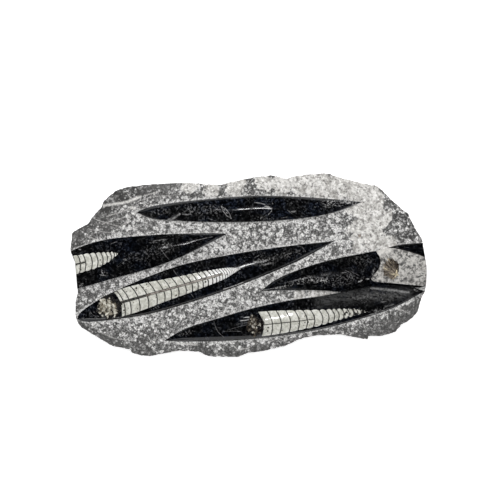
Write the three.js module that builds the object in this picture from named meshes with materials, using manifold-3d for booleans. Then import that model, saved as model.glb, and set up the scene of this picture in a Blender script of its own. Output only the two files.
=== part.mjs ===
// Orthoceras slab: a flat piece of chiselled limestone with six polished straight-shelled fossils in relief.
// Millimetres, +Z up. The slab lies flat on its sawn underside, and the origin is the middle of its footprint
// on that underside.
import * as THREE from 'three';
import { mergeVertices } from 'three/addons/utils/BufferGeometryUtils.js';
import Module from 'manifold-3d';

const wasm = await Module();
wasm.setup();

// Driving dimensions
const GROUND = 27;            // height of the chiselled ground between the fossils
const GAP = 0.3;              // clearance between each body and the socket that it sits in
const RIM_DROP = 2;           // the ground falls by this much where it meets the slab's edge
const BROKEN_DROP = 7;        // the broken face at the lower right falls by this much
const LID = GROUND + 20;      // height that tools for cutting inlays reach up to, above every fossil
const STATIONS = 20;          // cross-sections along a fossil
const SECTION_POINTS = 12;    // points around a fossil's cross-section
const CREST_TAPER = 0.7;      // how fast a fossil's height follows its width towards the tips
const INLAY_STATIONS = 14;    // cross-sections along a chambered shell
const INLAY_FLOOR_POINTS = 7; // points across the rounded floor of a chambered shell

// The slab seen from above, clockwise from its left corner
const OUTLINE = [
  [-149, 12], [-146.5, 26], [-142, 29], [-136, 32.5], [-127, 44], [-121, 49.5], [-121, 53.5], [-111.5, 61.5],
  [-105.5, 64], [-91.5, 66.5], [-55, 69], [-33, 67.5], [-23, 67], [-2.5, 72], [20, 75], [33.5, 72],
  [38.5, 74], [61, 76.5], [69.5, 76], [76.5, 73.5], [101, 67.5], [109.5, 65.5], [117, 59], [121.5, 53],
  [135.5, 42.5], [137, 38], [147, 21.5], [147.5, 16], [150.5, -1], [150.5, -11.5], [149.5, -23], [146, -30.5],
  [144, -39.5], [139, -45], [129.5, -51], [124.5, -57], [101.5, -63.5], [98, -62], [95.5, -59], [61, -59.5],
  [43, -63], [33.5, -68], [21.5, -71], [12, -73], [-0.5, -74.5], [-7.5, -77.5], [-29, -77.5], [-36, -76],
  [-41, -73.5], [-57, -72.5], [-73.5, -75.5], [-82, -77], [-90, -76.5], [-97.5, -74], [-99, -71.5],
  [-113.5, -68.5], [-120, -65], [-139.5, -53], [-143, -48], [-144.5, -44.5], [-144.5, -31.5], [-142.5, -24],
  [-143, -20.5], [-145, 2],
];

// Side profile of the slab, from the underside up: height, and how far the side stands in from the outline
const SIDE_PROFILE = [[0, 5], [5, 1.5], [15, 0], [22, 1]];
const RIM_INSETS = [2.5, 7];              // rings on the worn top edge
const TOP_RINGS = [0.85, 0.6, 0.3]; // rings on the ground, as shares of the outline

// Each fossil: its upper and lower edge on the ground, tip to tip, and its height over the ground
const FOSSILS = {
  fossil_top: {
    upper: [[-93.5, 44], [-82, 48.5], [-62, 52], [-24, 56], [9, 58], [44, 57], [72, 55], [94.5, 52.5]],
    lower: [[-93.5, 44], [-82, 39], [-56, 36.5], [-21, 35.5], [9, 36], [44, 38.5], [72, 43.5], [94.5, 52.5]],
    crest: 5,
  },
  fossil_left: {
    upper: [[-172, -14], [-158, 5], [-146, 12.5], [-122, 20.5], [-86, 24.5], [-57, 26], [-34, 26.5], [-16.5, 26]],
    lower: [[-172, -14], [-160, -23.5], [-143.5, -20.5], [-120, -14], [-73, -0.5], [-48, 10], [-30, 19],
      [-16.5, 26]],
    crest: 6,
  },
  fossil_centre: {
    upper: [[-143.5, -46], [-141.5, -41.5], [-125, -29.5], [-101, -17.5], [-58, -1], [-14, 8.5], [33, 15.5],
      [73.5, 20]],
    lower: [[-143.5, -46], [-136.5, -48], [-106.5, -45.5], [-82, -41.5], [-43.5, -30.5], [-6.5, -17.5],
      [43.5, 3.5], [73.5, 20]],
    crest: 5.5,
  },
  fossil_right: {
    upper: [[10.5, -22.5], [24, -12.5], [48, -2.5], [72, 4.5], [107.5, 11.5], [119.5, 14], [135, 11],
      [150, 5.5], [168, -6]],
    lower: [[10.5, -22.5], [24, -21.8], [61, -21.5], [81, -22.5], [93, -17], [104.5, -14], [117, -16],
      [148.5, -17.5], [168, -6]],
    crest: 5.5,
  },
  fossil_bottom: {
    upper: [[-68, -63.5], [-53, -54], [-26.5, -45.5], [4.5, -36.5], [38, -29.5], [61, -27], [81, -24],
      [93, -19], [104.5, -15.2], [117, -17.2], [135, -18.4], [149, -22.5]],
    lower: [[-68, -63.5], [-53, -64.5], [-14.5, -64], [28.5, -60], [61, -54.5], [96, -45.5], [122.5, -36.5],
      [149, -22.5]],
    crest: 6,
  },
  fossil_edge: {
    upper: [[121, 14.9], [127, 16.4], [134.5, 17.4], [147.5, 18], [162, 17]],
    lower: [[121, 14.9], [129.5, 13], [141.5, 10], [149, 8], [162, 17]],
    crest: 3.5,
  },
};
const FOSSIL_DEPTH = 0.3;     // depth below the ground, as a share of the fossil's width

// The break across the right fossil, from its upper edge down, with the calcite cast on the far side
const CALCITE_BREAK = [[107, 30], [108, 11], [110.5, 6], [111, -1], [105.5, -8.5], [103, -12], [102, -30]];
const CALCITE_FAR_X = 175;

// Each chambered shell: its upper and lower edge from the wide end to the apex
const CHAMBERS = {
  chambers_left: {
    host: 'fossil_left',
    upper: [[-160, 5], [-145, 7.5], [-132.5, 9.5], [-118, 10.5], [-110.5, 10.5], [-108, 9]],
    lower: [[-160, -13.5], [-144.5, -8.5], [-134.5, -5.5], [-125, -2.5], [-115.5, 2.5], [-108, 9]],
  },
  chambers_centre: {
    host: 'fossil_centre',
    upper: [[-112.5, -22.5], [-101, -19], [-86.5, -15.5], [-58, -10], [-33.5, -5], [-14.5, -2.5], [-5.5, -3.5]],
    lower: [[-106.5, -44], [-91.5, -39.5], [-67.5, -30.5], [-48, -23.5], [-33.5, -18], [-19, -12], [-5.5, -3.5]],
  },
  chambers_bottom: {
    host: 'fossil_bottom',
    upper: [[9, -39.5], [24, -38.5], [43.5, -38], [61, -37.5], [91, -37], [101.5, -39.5]],
    lower: [[12.5, -60], [24, -58.5], [38, -56], [57.5, -52], [72, -48], [101.5, -39.5]],
  },
};
const CHAMBER_DEPTH = 0.2;    // depth of a chambered shell's rounded floor, as a share of its width

// Each crystal patch: its middle, its half-widths and the body that it fills
const CRYSTALS = {
  crystals_centre: { host: 'fossil_centre', middle: [-117.5, -36.5], radii: [7.5, 7.8] },
  crystals_bottom: { host: 'fossil_bottom', middle: [6, -53], radii: [5.4, 6.4] },
  crystals_right: { host: 'calcite_end_right', middle: [121, -5], radii: [6.8, 6.4] },
};
const CRYSTAL_SIDES = 13;
const CRYSTAL_DEPTH = 5;

const FINISHES = {
  chiselled_limestone: { color: 0x8b8a88, roughness: 0.92, metalness: 0 },
  polished_black_limestone: { color: 0x17171a, roughness: 0.18, metalness: 0 },
  white_calcite_chambers: { color: 0xe2dfd2, roughness: 0.25, metalness: 0 },
  pale_calcite: { color: 0xc9c5bf, roughness: 0.45, metalness: 0 },
  calcite_crystals: { color: 0xb59a66, roughness: 0.35, metalness: 0 },
};

// A closed skin over a stack of rings of equal count, closed by a point at each end
function skin(firstPoint, rings, lastPoint) {
  const count = rings[0].length;
  const points = [firstPoint, ...rings.flat(), lastPoint];
  const last = points.length - 1;
  const triangles = [];
  for (let side = 0; side < count; side++) {
    const next = (side + 1) % count;
    triangles.push(0, 1 + next, 1 + side);
    for (let ring = 0; ring < rings.length - 1; ring++) {
      const near = 1 + ring * count;
      const far = near + count;
      triangles.push(near + side, near + next, far + next, near + side, far + next, far + side);
    }
    const top = 1 + (rings.length - 1) * count;
    triangles.push(last, top + side, top + next);
  }
  const geometry = new THREE.BufferGeometry().setFromPoints(points);
  geometry.setIndex(triangles);
  return geometry;
}

function toSolid(geometry) {
  const bare = geometry.clone();
  bare.deleteAttribute('normal');
  bare.deleteAttribute('uv');
  const merged = mergeVertices(bare, 1e-4);
  return new wasm.Manifold(new wasm.Mesh({
    numProp: 3,
    vertProperties: new Float32Array(merged.attributes.position.array),
    triVerts: new Uint32Array(merged.index.array),
  }));
}

function toGeometry(solid) {
  const mesh = solid.getMesh();
  const geometry = new THREE.BufferGeometry();
  geometry.setAttribute('position', new THREE.BufferAttribute(new Float32Array(mesh.vertProperties), 3));
  geometry.setIndex(new THREE.BufferAttribute(new Uint32Array(mesh.triVerts), 1));
  geometry.computeVertexNormals();
  return geometry;
}

// The biggest body of a solid, without the chips that a cut leaves
function mainBody(solid) {
  return solid.decompose().reduce((biggest, piece) => (piece.volume() > biggest.volume() ? piece : biggest));
}

function edgeCurve(points) {
  return new THREE.CatmullRomCurve3(points.map(([x, y]) => new THREE.Vector3(x, y, 0)), false, 'centripetal');
}

// Smooth outline with two points to each of the drawn ones
const outlineCurve = new THREE.CatmullRomCurve3(
  OUTLINE.map(([x, y]) => new THREE.Vector3(x, y, 0)).reverse(), true, 'catmullrom', 0.3);
const outlinePoints = outlineCurve.getPoints(OUTLINE.length * 2).slice(0, -1);

function outlineRing(inset, height) {
  return outlinePoints.map((point) => {
    const share = 1 - inset / point.length();
    const x = point.x * share;
    const y = point.y * share;
    return new THREE.Vector3(x, y, typeof height === 'function' ? height(x, y) : height);
  });
}

// The ground is level but for the broken face at the lower right, which slopes away
function groundHeight(x, y) {
  const towardsBreak = THREE.MathUtils.smoothstep(0.5 * x - y, 92, 125);
  const beyondMiddle = THREE.MathUtils.smoothstep(x, 60, 100);
  return GROUND - BROKEN_DROP * towardsBreak * beyondMiddle;
}

function slabBlank() {
  const rings = SIDE_PROFILE.map(([height, inset]) => outlineRing(inset, height));
  const [outerInset, innerInset] = RIM_INSETS;
  rings.push(outlineRing(outerInset, (x, y) => groundHeight(x, y) - RIM_DROP / 2));
  rings.push(outlineRing(innerInset, groundHeight));
  for (const share of TOP_RINGS) {
    rings.push(outlinePoints.map(({ x, y }) => (
      new THREE.Vector3(x * share, y * share, groundHeight(x * share, y * share)))));
  }
  return toSolid(skin(new THREE.Vector3(0, 0, 0), rings, new THREE.Vector3(0, 0, GROUND)));
}

// The slab's sides carried straight on upwards: what a fossil that the slab's edge cuts is cut by
function edgeEnvelope() {
  const rings = SIDE_PROFILE.map(([height, inset]) => outlineRing(inset, height));
  const [, topInset] = SIDE_PROFILE.at(-1);
  rings.push(outlineRing(topInset + 2, LID));
  return toSolid(skin(new THREE.Vector3(0, 0, 0), rings, new THREE.Vector3(0, 0, LID)));
}

// A fossil's body: a dome over the ground and a bowl below it, between its two edges
function spindle({ upper, lower, crest }, grow = 0) {
  const upperCurve = edgeCurve(upper);
  const lowerCurve = edgeCurve(lower);
  const stations = [];
  for (let i = 1; i < STATIONS; i++) {
    const above = upperCurve.getPointAt(i / STATIONS);
    const below = lowerCurve.getPointAt(i / STATIONS);
    const across = above.clone().sub(below).multiplyScalar(0.5);
    stations.push({ middle: above.add(below).multiplyScalar(0.5), across, half: across.length() });
  }
  const widest = Math.max(...stations.map(({ half }) => half));
  const rings = stations.map(({ middle, across, half }) => {
    const height = crest * (half / widest) ** CREST_TAPER + grow;
    const depth = 2 * half * FOSSIL_DEPTH + grow;
    const side = across.clone().setLength(half + grow);
    return Array.from({ length: SECTION_POINTS }, (_, k) => {
      const angle = (2 * Math.PI * k) / SECTION_POINTS;
      const point = middle.clone().addScaledVector(side, Math.cos(angle));
      point.z = GROUND + Math.sin(angle) * (Math.sin(angle) > 0 ? height : depth);
      return point;
    });
  });
  const [startX, startY] = upper[0];
  const [endX, endY] = upper.at(-1);
  const reach = new THREE.Vector3(endX - startX, endY - startY, 0).setLength(2 * grow);
  const start = new THREE.Vector3(startX, startY, GROUND).sub(reach);
  const end = new THREE.Vector3(endX, endY, GROUND).add(reach);
  return toSolid(skin(start, rings, end));
}

// The tool shape of a chambered shell: a rounded floor between its two edges, with straight sides up to the lid
function chamberTool({ upper, lower }, grow = 0) {
  const upperCurve = edgeCurve(upper);
  const lowerCurve = edgeCurve(lower);
  const rings = [];
  for (let i = 0; i < INLAY_STATIONS; i++) {
    const above = upperCurve.getPointAt(i / INLAY_STATIONS);
    const below = lowerCurve.getPointAt(i / INLAY_STATIONS);
    const across = above.clone().sub(below).multiplyScalar(0.5);
    const half = across.length();
    const middle = above.add(below).multiplyScalar(0.5);
    const side = across.setLength(half + grow);
    const ring = [];
    for (let k = 0; k <= INLAY_FLOOR_POINTS; k++) {
      const angle = (Math.PI * k) / INLAY_FLOOR_POINTS;
      const point = middle.clone().addScaledVector(side, -Math.cos(angle));
      point.z = GROUND - Math.sin(angle) * (2 * half * CHAMBER_DEPTH + grow);
      ring.push(point);
    }
    ring.push(middle.clone().add(side).setZ(LID));
    ring.push(middle.clone().sub(side).setZ(LID));
    rings.push(ring);
  }
  const apex = upperCurve.getPoint(1);
  const axis = rings.at(-1)[0].clone().sub(rings[0][0]).setZ(0);
  const wideEnd = upperCurve.getPoint(0).add(lowerCurve.getPoint(0)).multiplyScalar(0.5);
  rings[0].forEach((point) => point.sub(axis.setLength(grow || 1e-6)));
  wideEnd.sub(axis.setLength(grow || 1e-6)).setZ(GROUND);
  apex.add(axis.setLength(2 * grow || 1e-6)).setZ(GROUND);
  return toSolid(skin(wideEnd, rings, apex));
}

// The tool shape of a crystal patch: an uneven pit with straight sides up to the lid
function crystalTool({ middle, radii }, grow = 0) {
  const ring = (share, height) => Array.from({ length: CRYSTAL_SIDES }, (_, k) => {
    const angle = (2 * Math.PI * k) / CRYSTAL_SIDES;
    const uneven = 1 + 0.07 * Math.sin(3 * angle) + 0.05 * Math.sin(5 * angle + 1);
    return new THREE.Vector3(
      middle[0] + (radii[0] * share * uneven + grow) * Math.cos(angle),
      middle[1] + (radii[1] * share * uneven + grow) * Math.sin(angle),
      height);
  });
  const floor = GROUND + 1 - CRYSTAL_DEPTH - grow;
  const rings = [ring(0.55, floor + 1), ring(0.88, floor + CRYSTAL_DEPTH / 2), ring(1, GROUND + 1), ring(1, LID)];
  return toSolid(skin(
    new THREE.Vector3(...middle, floor), rings, new THREE.Vector3(...middle, LID)));
}

// Everything beyond the break across the right fossil
function calciteSide(grow = 0) {
  const shape = new THREE.Shape();
  CALCITE_BREAK.forEach(([x, y], i) => (i ? shape.lineTo(x - grow, y) : shape.moveTo(x - grow, y)));
  shape.lineTo(CALCITE_FAR_X, CALCITE_BREAK.at(-1)[1]);
  shape.lineTo(CALCITE_FAR_X, CALCITE_BREAK[0][1]);
  return toSolid(new THREE.ExtrudeGeometry(shape, { depth: LID, bevelEnabled: false }));
}

function buildSolids() {
  const envelope = edgeEnvelope();
  const solids = {};
  let slab = slabBlank();
  for (const [name, fossil] of Object.entries(FOSSILS)) {
    solids[name] = spindle(fossil).intersect(envelope);
    slab = slab.subtract(spindle(fossil, GAP));
  }
  solids.calcite_end_right = solids.fossil_right.intersect(calciteSide());
  solids.fossil_right = solids.fossil_right.subtract(calciteSide(GAP));
  for (const [name, chambers] of Object.entries(CHAMBERS)) {
    solids[name] = solids[chambers.host].intersect(chamberTool(chambers));
    solids[chambers.host] = solids[chambers.host].subtract(chamberTool(chambers, GAP));
  }
  for (const [name, crystals] of Object.entries(CRYSTALS)) {
    solids[name] = solids[crystals.host].intersect(crystalTool(crystals));
    solids[crystals.host] = solids[crystals.host].subtract(crystalTool(crystals, GAP));
  }
  return { matrix_slab: slab, ...solids };
}

function finishOf(name) {
  if (name.startsWith('fossil')) return 'polished_black_limestone';
  if (name.startsWith('chambers')) return 'white_calcite_chambers';
  if (name.startsWith('crystals')) return 'calcite_crystals';
  return name === 'calcite_end_right' ? 'pale_calcite' : 'chiselled_limestone';
}

function buildPart() {
  const bodies = new THREE.Group();
  for (const [name, solid] of Object.entries(buildSolids())) {
    const finish = finishOf(name);
    const mesh = new THREE.Mesh(
      toGeometry(mainBody(solid)), new THREE.MeshStandardMaterial({ name: finish, ...FINISHES[finish] }));
    mesh.name = name;
    bodies.add(mesh);
  }
  const box = new THREE.Box3().setFromObject(bodies);
  const middle = box.getCenter(new THREE.Vector3());
  bodies.position.set(-middle.x, -middle.y, -box.min.z);
  const part = new THREE.Group();
  part.add(bodies);
  return part;
}

export default buildPart();
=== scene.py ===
"""The look of the orthoceras slab: chiselled limestone, polished black fossils, white chambered shells."""
import math
import random

import bpy
import numpy as np
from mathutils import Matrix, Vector, noise
from mathutils.bvhtree import BVHTree
from mathutils.kdtree import KDTree


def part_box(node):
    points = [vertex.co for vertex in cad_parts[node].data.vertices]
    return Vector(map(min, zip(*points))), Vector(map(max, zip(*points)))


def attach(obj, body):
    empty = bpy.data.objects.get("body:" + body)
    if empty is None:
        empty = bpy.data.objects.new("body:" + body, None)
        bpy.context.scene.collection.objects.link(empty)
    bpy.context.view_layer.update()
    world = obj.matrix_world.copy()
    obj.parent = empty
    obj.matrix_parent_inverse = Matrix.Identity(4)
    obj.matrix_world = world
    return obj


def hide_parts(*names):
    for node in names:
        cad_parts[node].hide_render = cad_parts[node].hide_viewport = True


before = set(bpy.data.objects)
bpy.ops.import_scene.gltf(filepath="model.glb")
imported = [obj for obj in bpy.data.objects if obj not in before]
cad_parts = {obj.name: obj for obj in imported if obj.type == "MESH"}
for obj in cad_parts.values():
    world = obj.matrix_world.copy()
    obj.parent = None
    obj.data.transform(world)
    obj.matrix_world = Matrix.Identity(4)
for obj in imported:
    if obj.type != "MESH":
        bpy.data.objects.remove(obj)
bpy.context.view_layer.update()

MM = 0.001
noise.seed_set(3)          # so that the broken facets lean the same way every time

# ---------------------------------------------------------------------------------------------------------
# Dimensions, in millimetres. Plan positions are drawn from the part's own datum; heights are over the
# underside.
# ---------------------------------------------------------------------------------------------------------

GROUND = 27.0              # height of the chiselled ground
SIDE_WIDEST = 15.0         # height at which the slab's side stands out furthest
SIDE_PROFILE = ((0.0, 5.0), (5.0, 1.5), (15.0, 0.0), (23.0, -0.6), (30.0, 0.4))   # height, inset
BROKEN_DROP = 7.0          # fall of the broken face at the lower right
FOSSIL_DEPTH = 0.3         # depth of a fossil below the ground, as a share of its width
FLANK_SHARE = 0.5          # share of a fossil's height that its ground flanks take
GROUND_FLANK = 0.8         # flanks wider than this get a line of painted grey sheen along their arris
SKIN = 4.0                 # veins and patches start to lean this far below the ground
VEIN_LEAN = (0.75, -0.4, 0.0)   # how far they shift for each unit of depth

# Each fossil: upper and lower edge from tip to tip; crest, its height over the ground; taper, how fast the
# height follows the width towards the tips; flanks, the widths of the upper and lower ground flank; fall, the
# share of the crest that is lost with each millimetre along +X
FOSSILS = {
    "fossil_top": dict(
        upper=[(-93.5, 44), (-82, 48.5), (-62, 52), (-24, 56), (9, 58), (44, 57), (72, 55), (96.5, 52.6)],
        lower=[(-93.5, 44), (-82, 39), (-56, 36.5), (-21, 35.5), (9, 36), (44, 38.5), (72, 43.5),
               (96.5, 52.6)],
        crest=5.0, taper=0.7, flanks=(0.9, 0.2)),
    "fossil_left": dict(
        upper=[(-172, -14), (-158, 5), (-146, 12.5), (-122, 20.5), (-86, 24.5), (-57, 26), (-34, 26.5),
               (-16.5, 26)],
        lower=[(-172, -14), (-160, -23.5), (-143.5, -20.5), (-120, -14), (-73, -0.5), (-48, 10), (-30, 19),
               (-16.5, 26)],
        crest=6.0, taper=0.45, flanks=(0.2, 0.2)),
    "fossil_centre": dict(
        upper=[(-143.5, -46), (-141.5, -41.5), (-125, -29.5), (-101, -17.5), (-58, -1), (-14, 8.5),
               (33, 15.5), (73.5, 20)],
        lower=[(-143.5, -46), (-136.5, -48), (-106.5, -45.5), (-82, -41.5), (-43.5, -30.5), (-6.5, -17.5),
               (43.5, 3.5), (73.5, 20)],
        crest=5.5, taper=0.7, flanks=(0.2, 1.7)),
    "fossil_right": dict(
        upper=[(10.5, -22.5), (24, -12.5), (48, -2.5), (72, 4.5), (107.5, 11.5), (119.5, 14), (135, 11),
               (150, 5.5), (168, -6)],
        lower=[(10.5, -22.5), (24, -21.8), (61, -21.8), (81, -23), (93, -20.6), (104.5, -18.6), (117, -18),
               (148.5, -18.5), (168, -6)],
        crest=5.5, taper=0.3, flanks=(0.2, 0.2)),
    "fossil_bottom": dict(
        upper=[(-70, -64), (-53, -54), (-26.5, -45.5), (4.5, -36.5), (38, -29.5), (61, -26.4), (81, -22.6),
               (93, -20), (104.5, -18), (117, -17.4), (135, -18), (149, -22.5)],
        lower=[(-70, -64), (-53, -64.7), (-14.5, -64), (28.5, -60), (61, -54.5), (96, -45.5),
               (122.5, -36.5), (149, -22.5)],
        crest=6.0, taper=0.9, fall=0.0042, flanks=(0.2, 1.4)),
    "fossil_edge": dict(
        upper=[(118, 14.2), (126, 16.4), (134.5, 17.6), (147.5, 18.2), (158, 17), (164, 9)],
        lower=[(118, 14.2), (129.5, 12.2), (141.5, 8.6), (149, 5.5), (157, 3), (164, 9)],
        crest=3.5, taper=0.7, flanks=(0.2, 0.2)),
}
ALONG_STEP = 0.9           # spacing of cross-sections along a fossil
CURVE_STEPS = 24           # points between two knots of a curve, before they are spread evenly
FLANK_SHARES = (0.0, 0.25, 0.5, 0.75)                                # mesh rows across a flank
DOME_SHARES = (0.0, 0.02, *(0.09 * k for k in range(1, 11)), 1.0)    # and across the dome beside it
ARRIS_ROWS = (("flank", 0.75), ("dome", 0.0))                        # rows along the arris between them, which take the painted sheen
FLANK_LIMIT = 0.3          # widest that a flank may be, as a share of the fossil's half-width
BOWL_ROWS = 8              # mesh rows round the buried half of a fossil
CREST_WOBBLE = 0.22        # how uneven the ground crest is

# The break across the right fossil, and the lower side of its calcite end
CALCITE_BREAK = [(107, 30), (107.5, 14), (108, 11), (110.5, 6), (111, -1), (106.5, -8), (103.5, -11.5),
                 (105, -13.6), (120, -15.4), (136, -16.9), (150, -18), (175, -19)]

# Each chambered shell: upper and lower edge from the wide end to the apex; septa, where each wall starts;
# bow, how far the walls lean and belly; siphuncle, its place and thickness across the shell, and the x up to
# which it is dark and seen; decay, where the shell starts to be eaten away and over what length; gaps, the
# widest wall at both ends as a share of a chamber; scallop, how far the walls draw the edge in;
# painted_highlight, the x between which a painted highlight turns the shell whiter
CHAMBERS = {
    "chambers_left": dict(
        host="fossil_left",
        upper=[(-160, 5), (-145, 7.5), (-132.5, 9.5), (-118, 10.5), (-110.5, 10.5), (-108, 9)],
        lower=[(-160, -13.5), (-144.5, -8.5), (-134.5, -5.5), (-125, -2.5), (-115.5, 2.5), (-108, 9)],
        septa=[-152, -147, -142.5, -138, -132.5, -127.5, -123, -119, -115.5, -112.5, -110.3],
        bow=(0.10, 0.20), siphuncle=(0.05, 0.5, -138, -138), decay=(-119, 22), gaps=(0.2, 0.5),
        scallop=0.35),
    "chambers_centre": dict(
        host="fossil_centre",
        upper=[(-112.5, -22.5), (-101, -19), (-86.5, -15.5), (-58, -10), (-33.5, -5), (-14.5, -2.5),
               (-5.5, -3.5)],
        lower=[(-106.5, -44), (-91.5, -39.5), (-67.5, -30.5), (-48, -23.5), (-33.5, -18), (-19, -12),
               (-12.5, -8), (-5.5, -3.5)],
        septa=[-110.5, -106, -98.5, -91, -83.5, -76.5, -70.5, -64, -57.5, -52, -47, -42.5, -38, -34, -30.5,
               -27.5, -24.8, -22.3, -20, -18, -16, -14.2, -12.5, -11, -9.5, -8.2],
        bow=(0.335, 0.245), siphuncle=(0.03, 0.75, -92, -24), decay=(100, 30), gaps=(0.2, 0.3),
        scallop=0.12, painted_highlight=(-44, -26)),
    "chambers_bottom": dict(
        host="fossil_bottom",
        upper=[(9, -39.5), (24, -38.5), (43.5, -38), (61, -37.5), (91, -37), (101.5, -39.5)],
        lower=[(12.5, -60), (24, -58.5), (38, -56), (57.5, -52), (72, -48), (101.5, -39.5)],
        septa=[16, 23.5, 31.5, 39, 46, 52.5, 59.5, 65, 70, 74, 78.5, 83, 87, 90.7, 94, 96.7, 99],
        bow=(0.155, 0.265), siphuncle=(-0.08, 0.26, 52, 52), decay=(64, 34), gaps=(0.2, 0.55),
        scallop=0.35),
}
SEPTUM_WIDTH = 1.0

CRYSTALS = {
    "crystals_centre": dict(host="fossil_centre", middle=(-116.0, -35.6), radii=(10.0, 8.4)),
    "crystals_bottom": dict(host="fossil_bottom", middle=(6.2, -51.0), radii=(6.8, 7.6)),
    "crystals_right": dict(host="calcite_end_right", middle=(120.6, -3.4), radii=(6.0, 8.0)),
}

# Where the drawing's datum lies in the frame: the top fossil's left tip and its highest point fix it
TOP_FOSSIL_TIP_X = -93.5
TOP_FOSSIL_HIGH_Y = 58.0
top_low, top_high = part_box("fossil_top")
DATUM = np.array((top_low.x / MM - TOP_FOSSIL_TIP_X, top_high.y / MM - TOP_FOSSIL_HIGH_Y, 0.0))


# ---------------------------------------------------------------------------------------------------------
# Curves and meshes
# ---------------------------------------------------------------------------------------------------------

def smooth_curve(points, count):
    """Points at even steps along a smooth open curve through the given ones."""
    ends = [2 * np.array(points[0]) - points[1], 2 * np.array(points[-1]) - points[-2]]
    knots = np.array([ends[0], *points, ends[1]], float)
    fine = []
    for p0, p1, p2, p3 in zip(knots, knots[1:], knots[2:], knots[3:]):
        spans = [max(math.sqrt(np.linalg.norm(b - a)), 1e-6) for a, b in ((p0, p1), (p1, p2), (p2, p3))]
        t0, t1 = 0.0, spans[0]
        t2, t3 = t1 + spans[1], t1 + spans[1] + spans[2]
        for t in np.linspace(t1, t2, CURVE_STEPS, endpoint=False):
            a1 = ((t1 - t) * p0 + (t - t0) * p1) / (t1 - t0)
            a2 = ((t2 - t) * p1 + (t - t1) * p2) / (t2 - t1)
            a3 = ((t3 - t) * p2 + (t - t2) * p3) / (t3 - t2)
            b1 = ((t2 - t) * a1 + (t - t0) * a2) / (t2 - t0)
            b2 = ((t3 - t) * a2 + (t - t1) * a3) / (t3 - t1)
            fine.append(((t2 - t) * b1 + (t - t1) * b2) / (t2 - t1))
    fine.append(knots[-2])
    return resample(np.array(fine), count)


def resample(line, count):
    """The same line as a given number of points at even steps."""
    steps = np.linalg.norm(np.diff(line, axis=0), axis=1)
    reach = np.concatenate(([0], np.cumsum(steps)))
    wanted = np.linspace(0, reach[-1], count)
    return np.column_stack([np.interp(wanted, reach, line[:, k]) for k in range(line.shape[1])])


def smoothstep(values, low, high):
    """0 at low and 1 at high, with a smooth rise between."""
    share = np.clip((np.asarray(values, float) - low) / (high - low), 0, 1)
    return share * share * (3 - 2 * share)


def rough(points, cell, depth=3, seed=0.0):
    """Fractal noise of about -1 to 1 at points in millimetres, for lumps about one cell across."""
    shift = Vector((seed * 13.7, seed * 7.1, seed * 3.3))
    return np.array([noise.fractal(Vector(p) / cell + shift, 1.0, 2.0, depth) for p in points])


def facets(points, cell, seed):
    """Offsets of 0 to about 1 for broken stone: each patch of one cell is a plane with a lean of its own."""
    shift = Vector((seed * 3.1, seed * 5.7, seed * 1.9))
    offsets = []
    for point in points:
        spot = Vector(point) / cell + shift
        seat = noise.voronoi(spot)[1][0]
        lean = noise.noise_vector(seat * 7.3)
        offsets.append(0.5 + 0.6 * noise.noise(seat * 5.1) + lean.dot(spot - seat))
    return np.array(offsets)


def mesh_object(name, points, faces):
    """An object of the scene from points in drawing millimetres."""
    mesh = bpy.data.meshes.new(name)
    placed = (np.asarray(points, float) + DATUM) * MM
    mesh.from_pydata(placed.tolist(), [], [list(map(int, face)) for face in faces])
    mesh.update()
    made = bpy.data.objects.new(name, mesh)
    bpy.context.scene.collection.objects.link(made)
    return made


def new_piece(name, points, faces, materials, face_materials=None, nodes=(), smooth=True):
    """A piece of the slab, which rides on its one body and stands for CAD nodes."""
    piece = mesh_object(name, points, faces)
    mesh = piece.data
    for material in materials:
        mesh.materials.append(material)
    if face_materials is not None:
        mesh.polygons.foreach_set("material_index", np.asarray(face_materials, np.int32))
    mesh.polygons.foreach_set("use_smooth", np.full(len(mesh.polygons), smooth))
    mesh.update()
    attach(piece, "root")
    if nodes:
        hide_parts(*nodes)
    return piece


def grid_faces(rows, columns, start=0, closed=False):
    """Quads over a grid of points stored row by row."""
    faces = []
    for i in range(rows - 1):
        for j in range(columns if closed else columns - 1):
            a = start + i * columns + j
            b = start + i * columns + (j + 1) % columns
            faces.append((a, b, b + columns, a + columns))
    return faces


def add_attribute(piece, name, values):
    """Stores one value at each point, for the piece's finish to read."""
    layer = piece.data.attributes.new(name, "FLOAT", "POINT")
    layer.data.foreach_set("value", np.asarray(values, np.float32))


def apply_modifiers(piece):
    """Replaces the piece's mesh by what its modifiers make of it."""
    graph = bpy.context.evaluated_depsgraph_get()
    made = bpy.data.meshes.new_from_object(piece.evaluated_get(graph), preserve_all_data_layers=True,
                                           depsgraph=graph)
    piece.modifiers.clear()
    old = piece.data
    piece.data = made
    bpy.data.meshes.remove(old)


def cut(piece, tool, operation):
    """Cuts the piece by a closed tool mesh; the new faces take the piece's first finish."""
    finishes = len(piece.data.materials)
    step = piece.modifiers.new("cut", "BOOLEAN")
    step.operation = operation
    step.solver = "MANIFOLD"
    step.object = tool
    apply_modifiers(piece)
    while len(piece.data.materials) > finishes:
        piece.data.materials.pop()
    for face in piece.data.polygons:
        if face.material_index >= finishes:
            face.material_index = 0


def discard(tool):
    """Removes a cutting tool and its mesh."""
    mesh = tool.data
    bpy.data.objects.remove(tool)
    bpy.data.meshes.remove(mesh)


# ---------------------------------------------------------------------------------------------------------
# Shader nodes
# ---------------------------------------------------------------------------------------------------------

def set_inputs(tree, node, inputs):
    """Sets a node's inputs: another node's output is linked, and anything else is the fixed value."""
    for key, value in inputs.items():
        if isinstance(value, bpy.types.NodeSocket):
            tree.links.new(value, node.inputs[key])
        else:
            node.inputs[key].default_value = value


def add(tree, kind, inputs=None, **settings):
    made = tree.nodes.new(kind)
    for key, value in settings.items():
        setattr(made, key, value)
    set_inputs(tree, made, inputs or {})
    return made


def math_node(tree, operation, a, b=0.0, c=0.0, clamp=False):
    return add(tree, "ShaderNodeMath", {0: a, 1: b, 2: c}, operation=operation, use_clamp=clamp).outputs[0]


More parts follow.
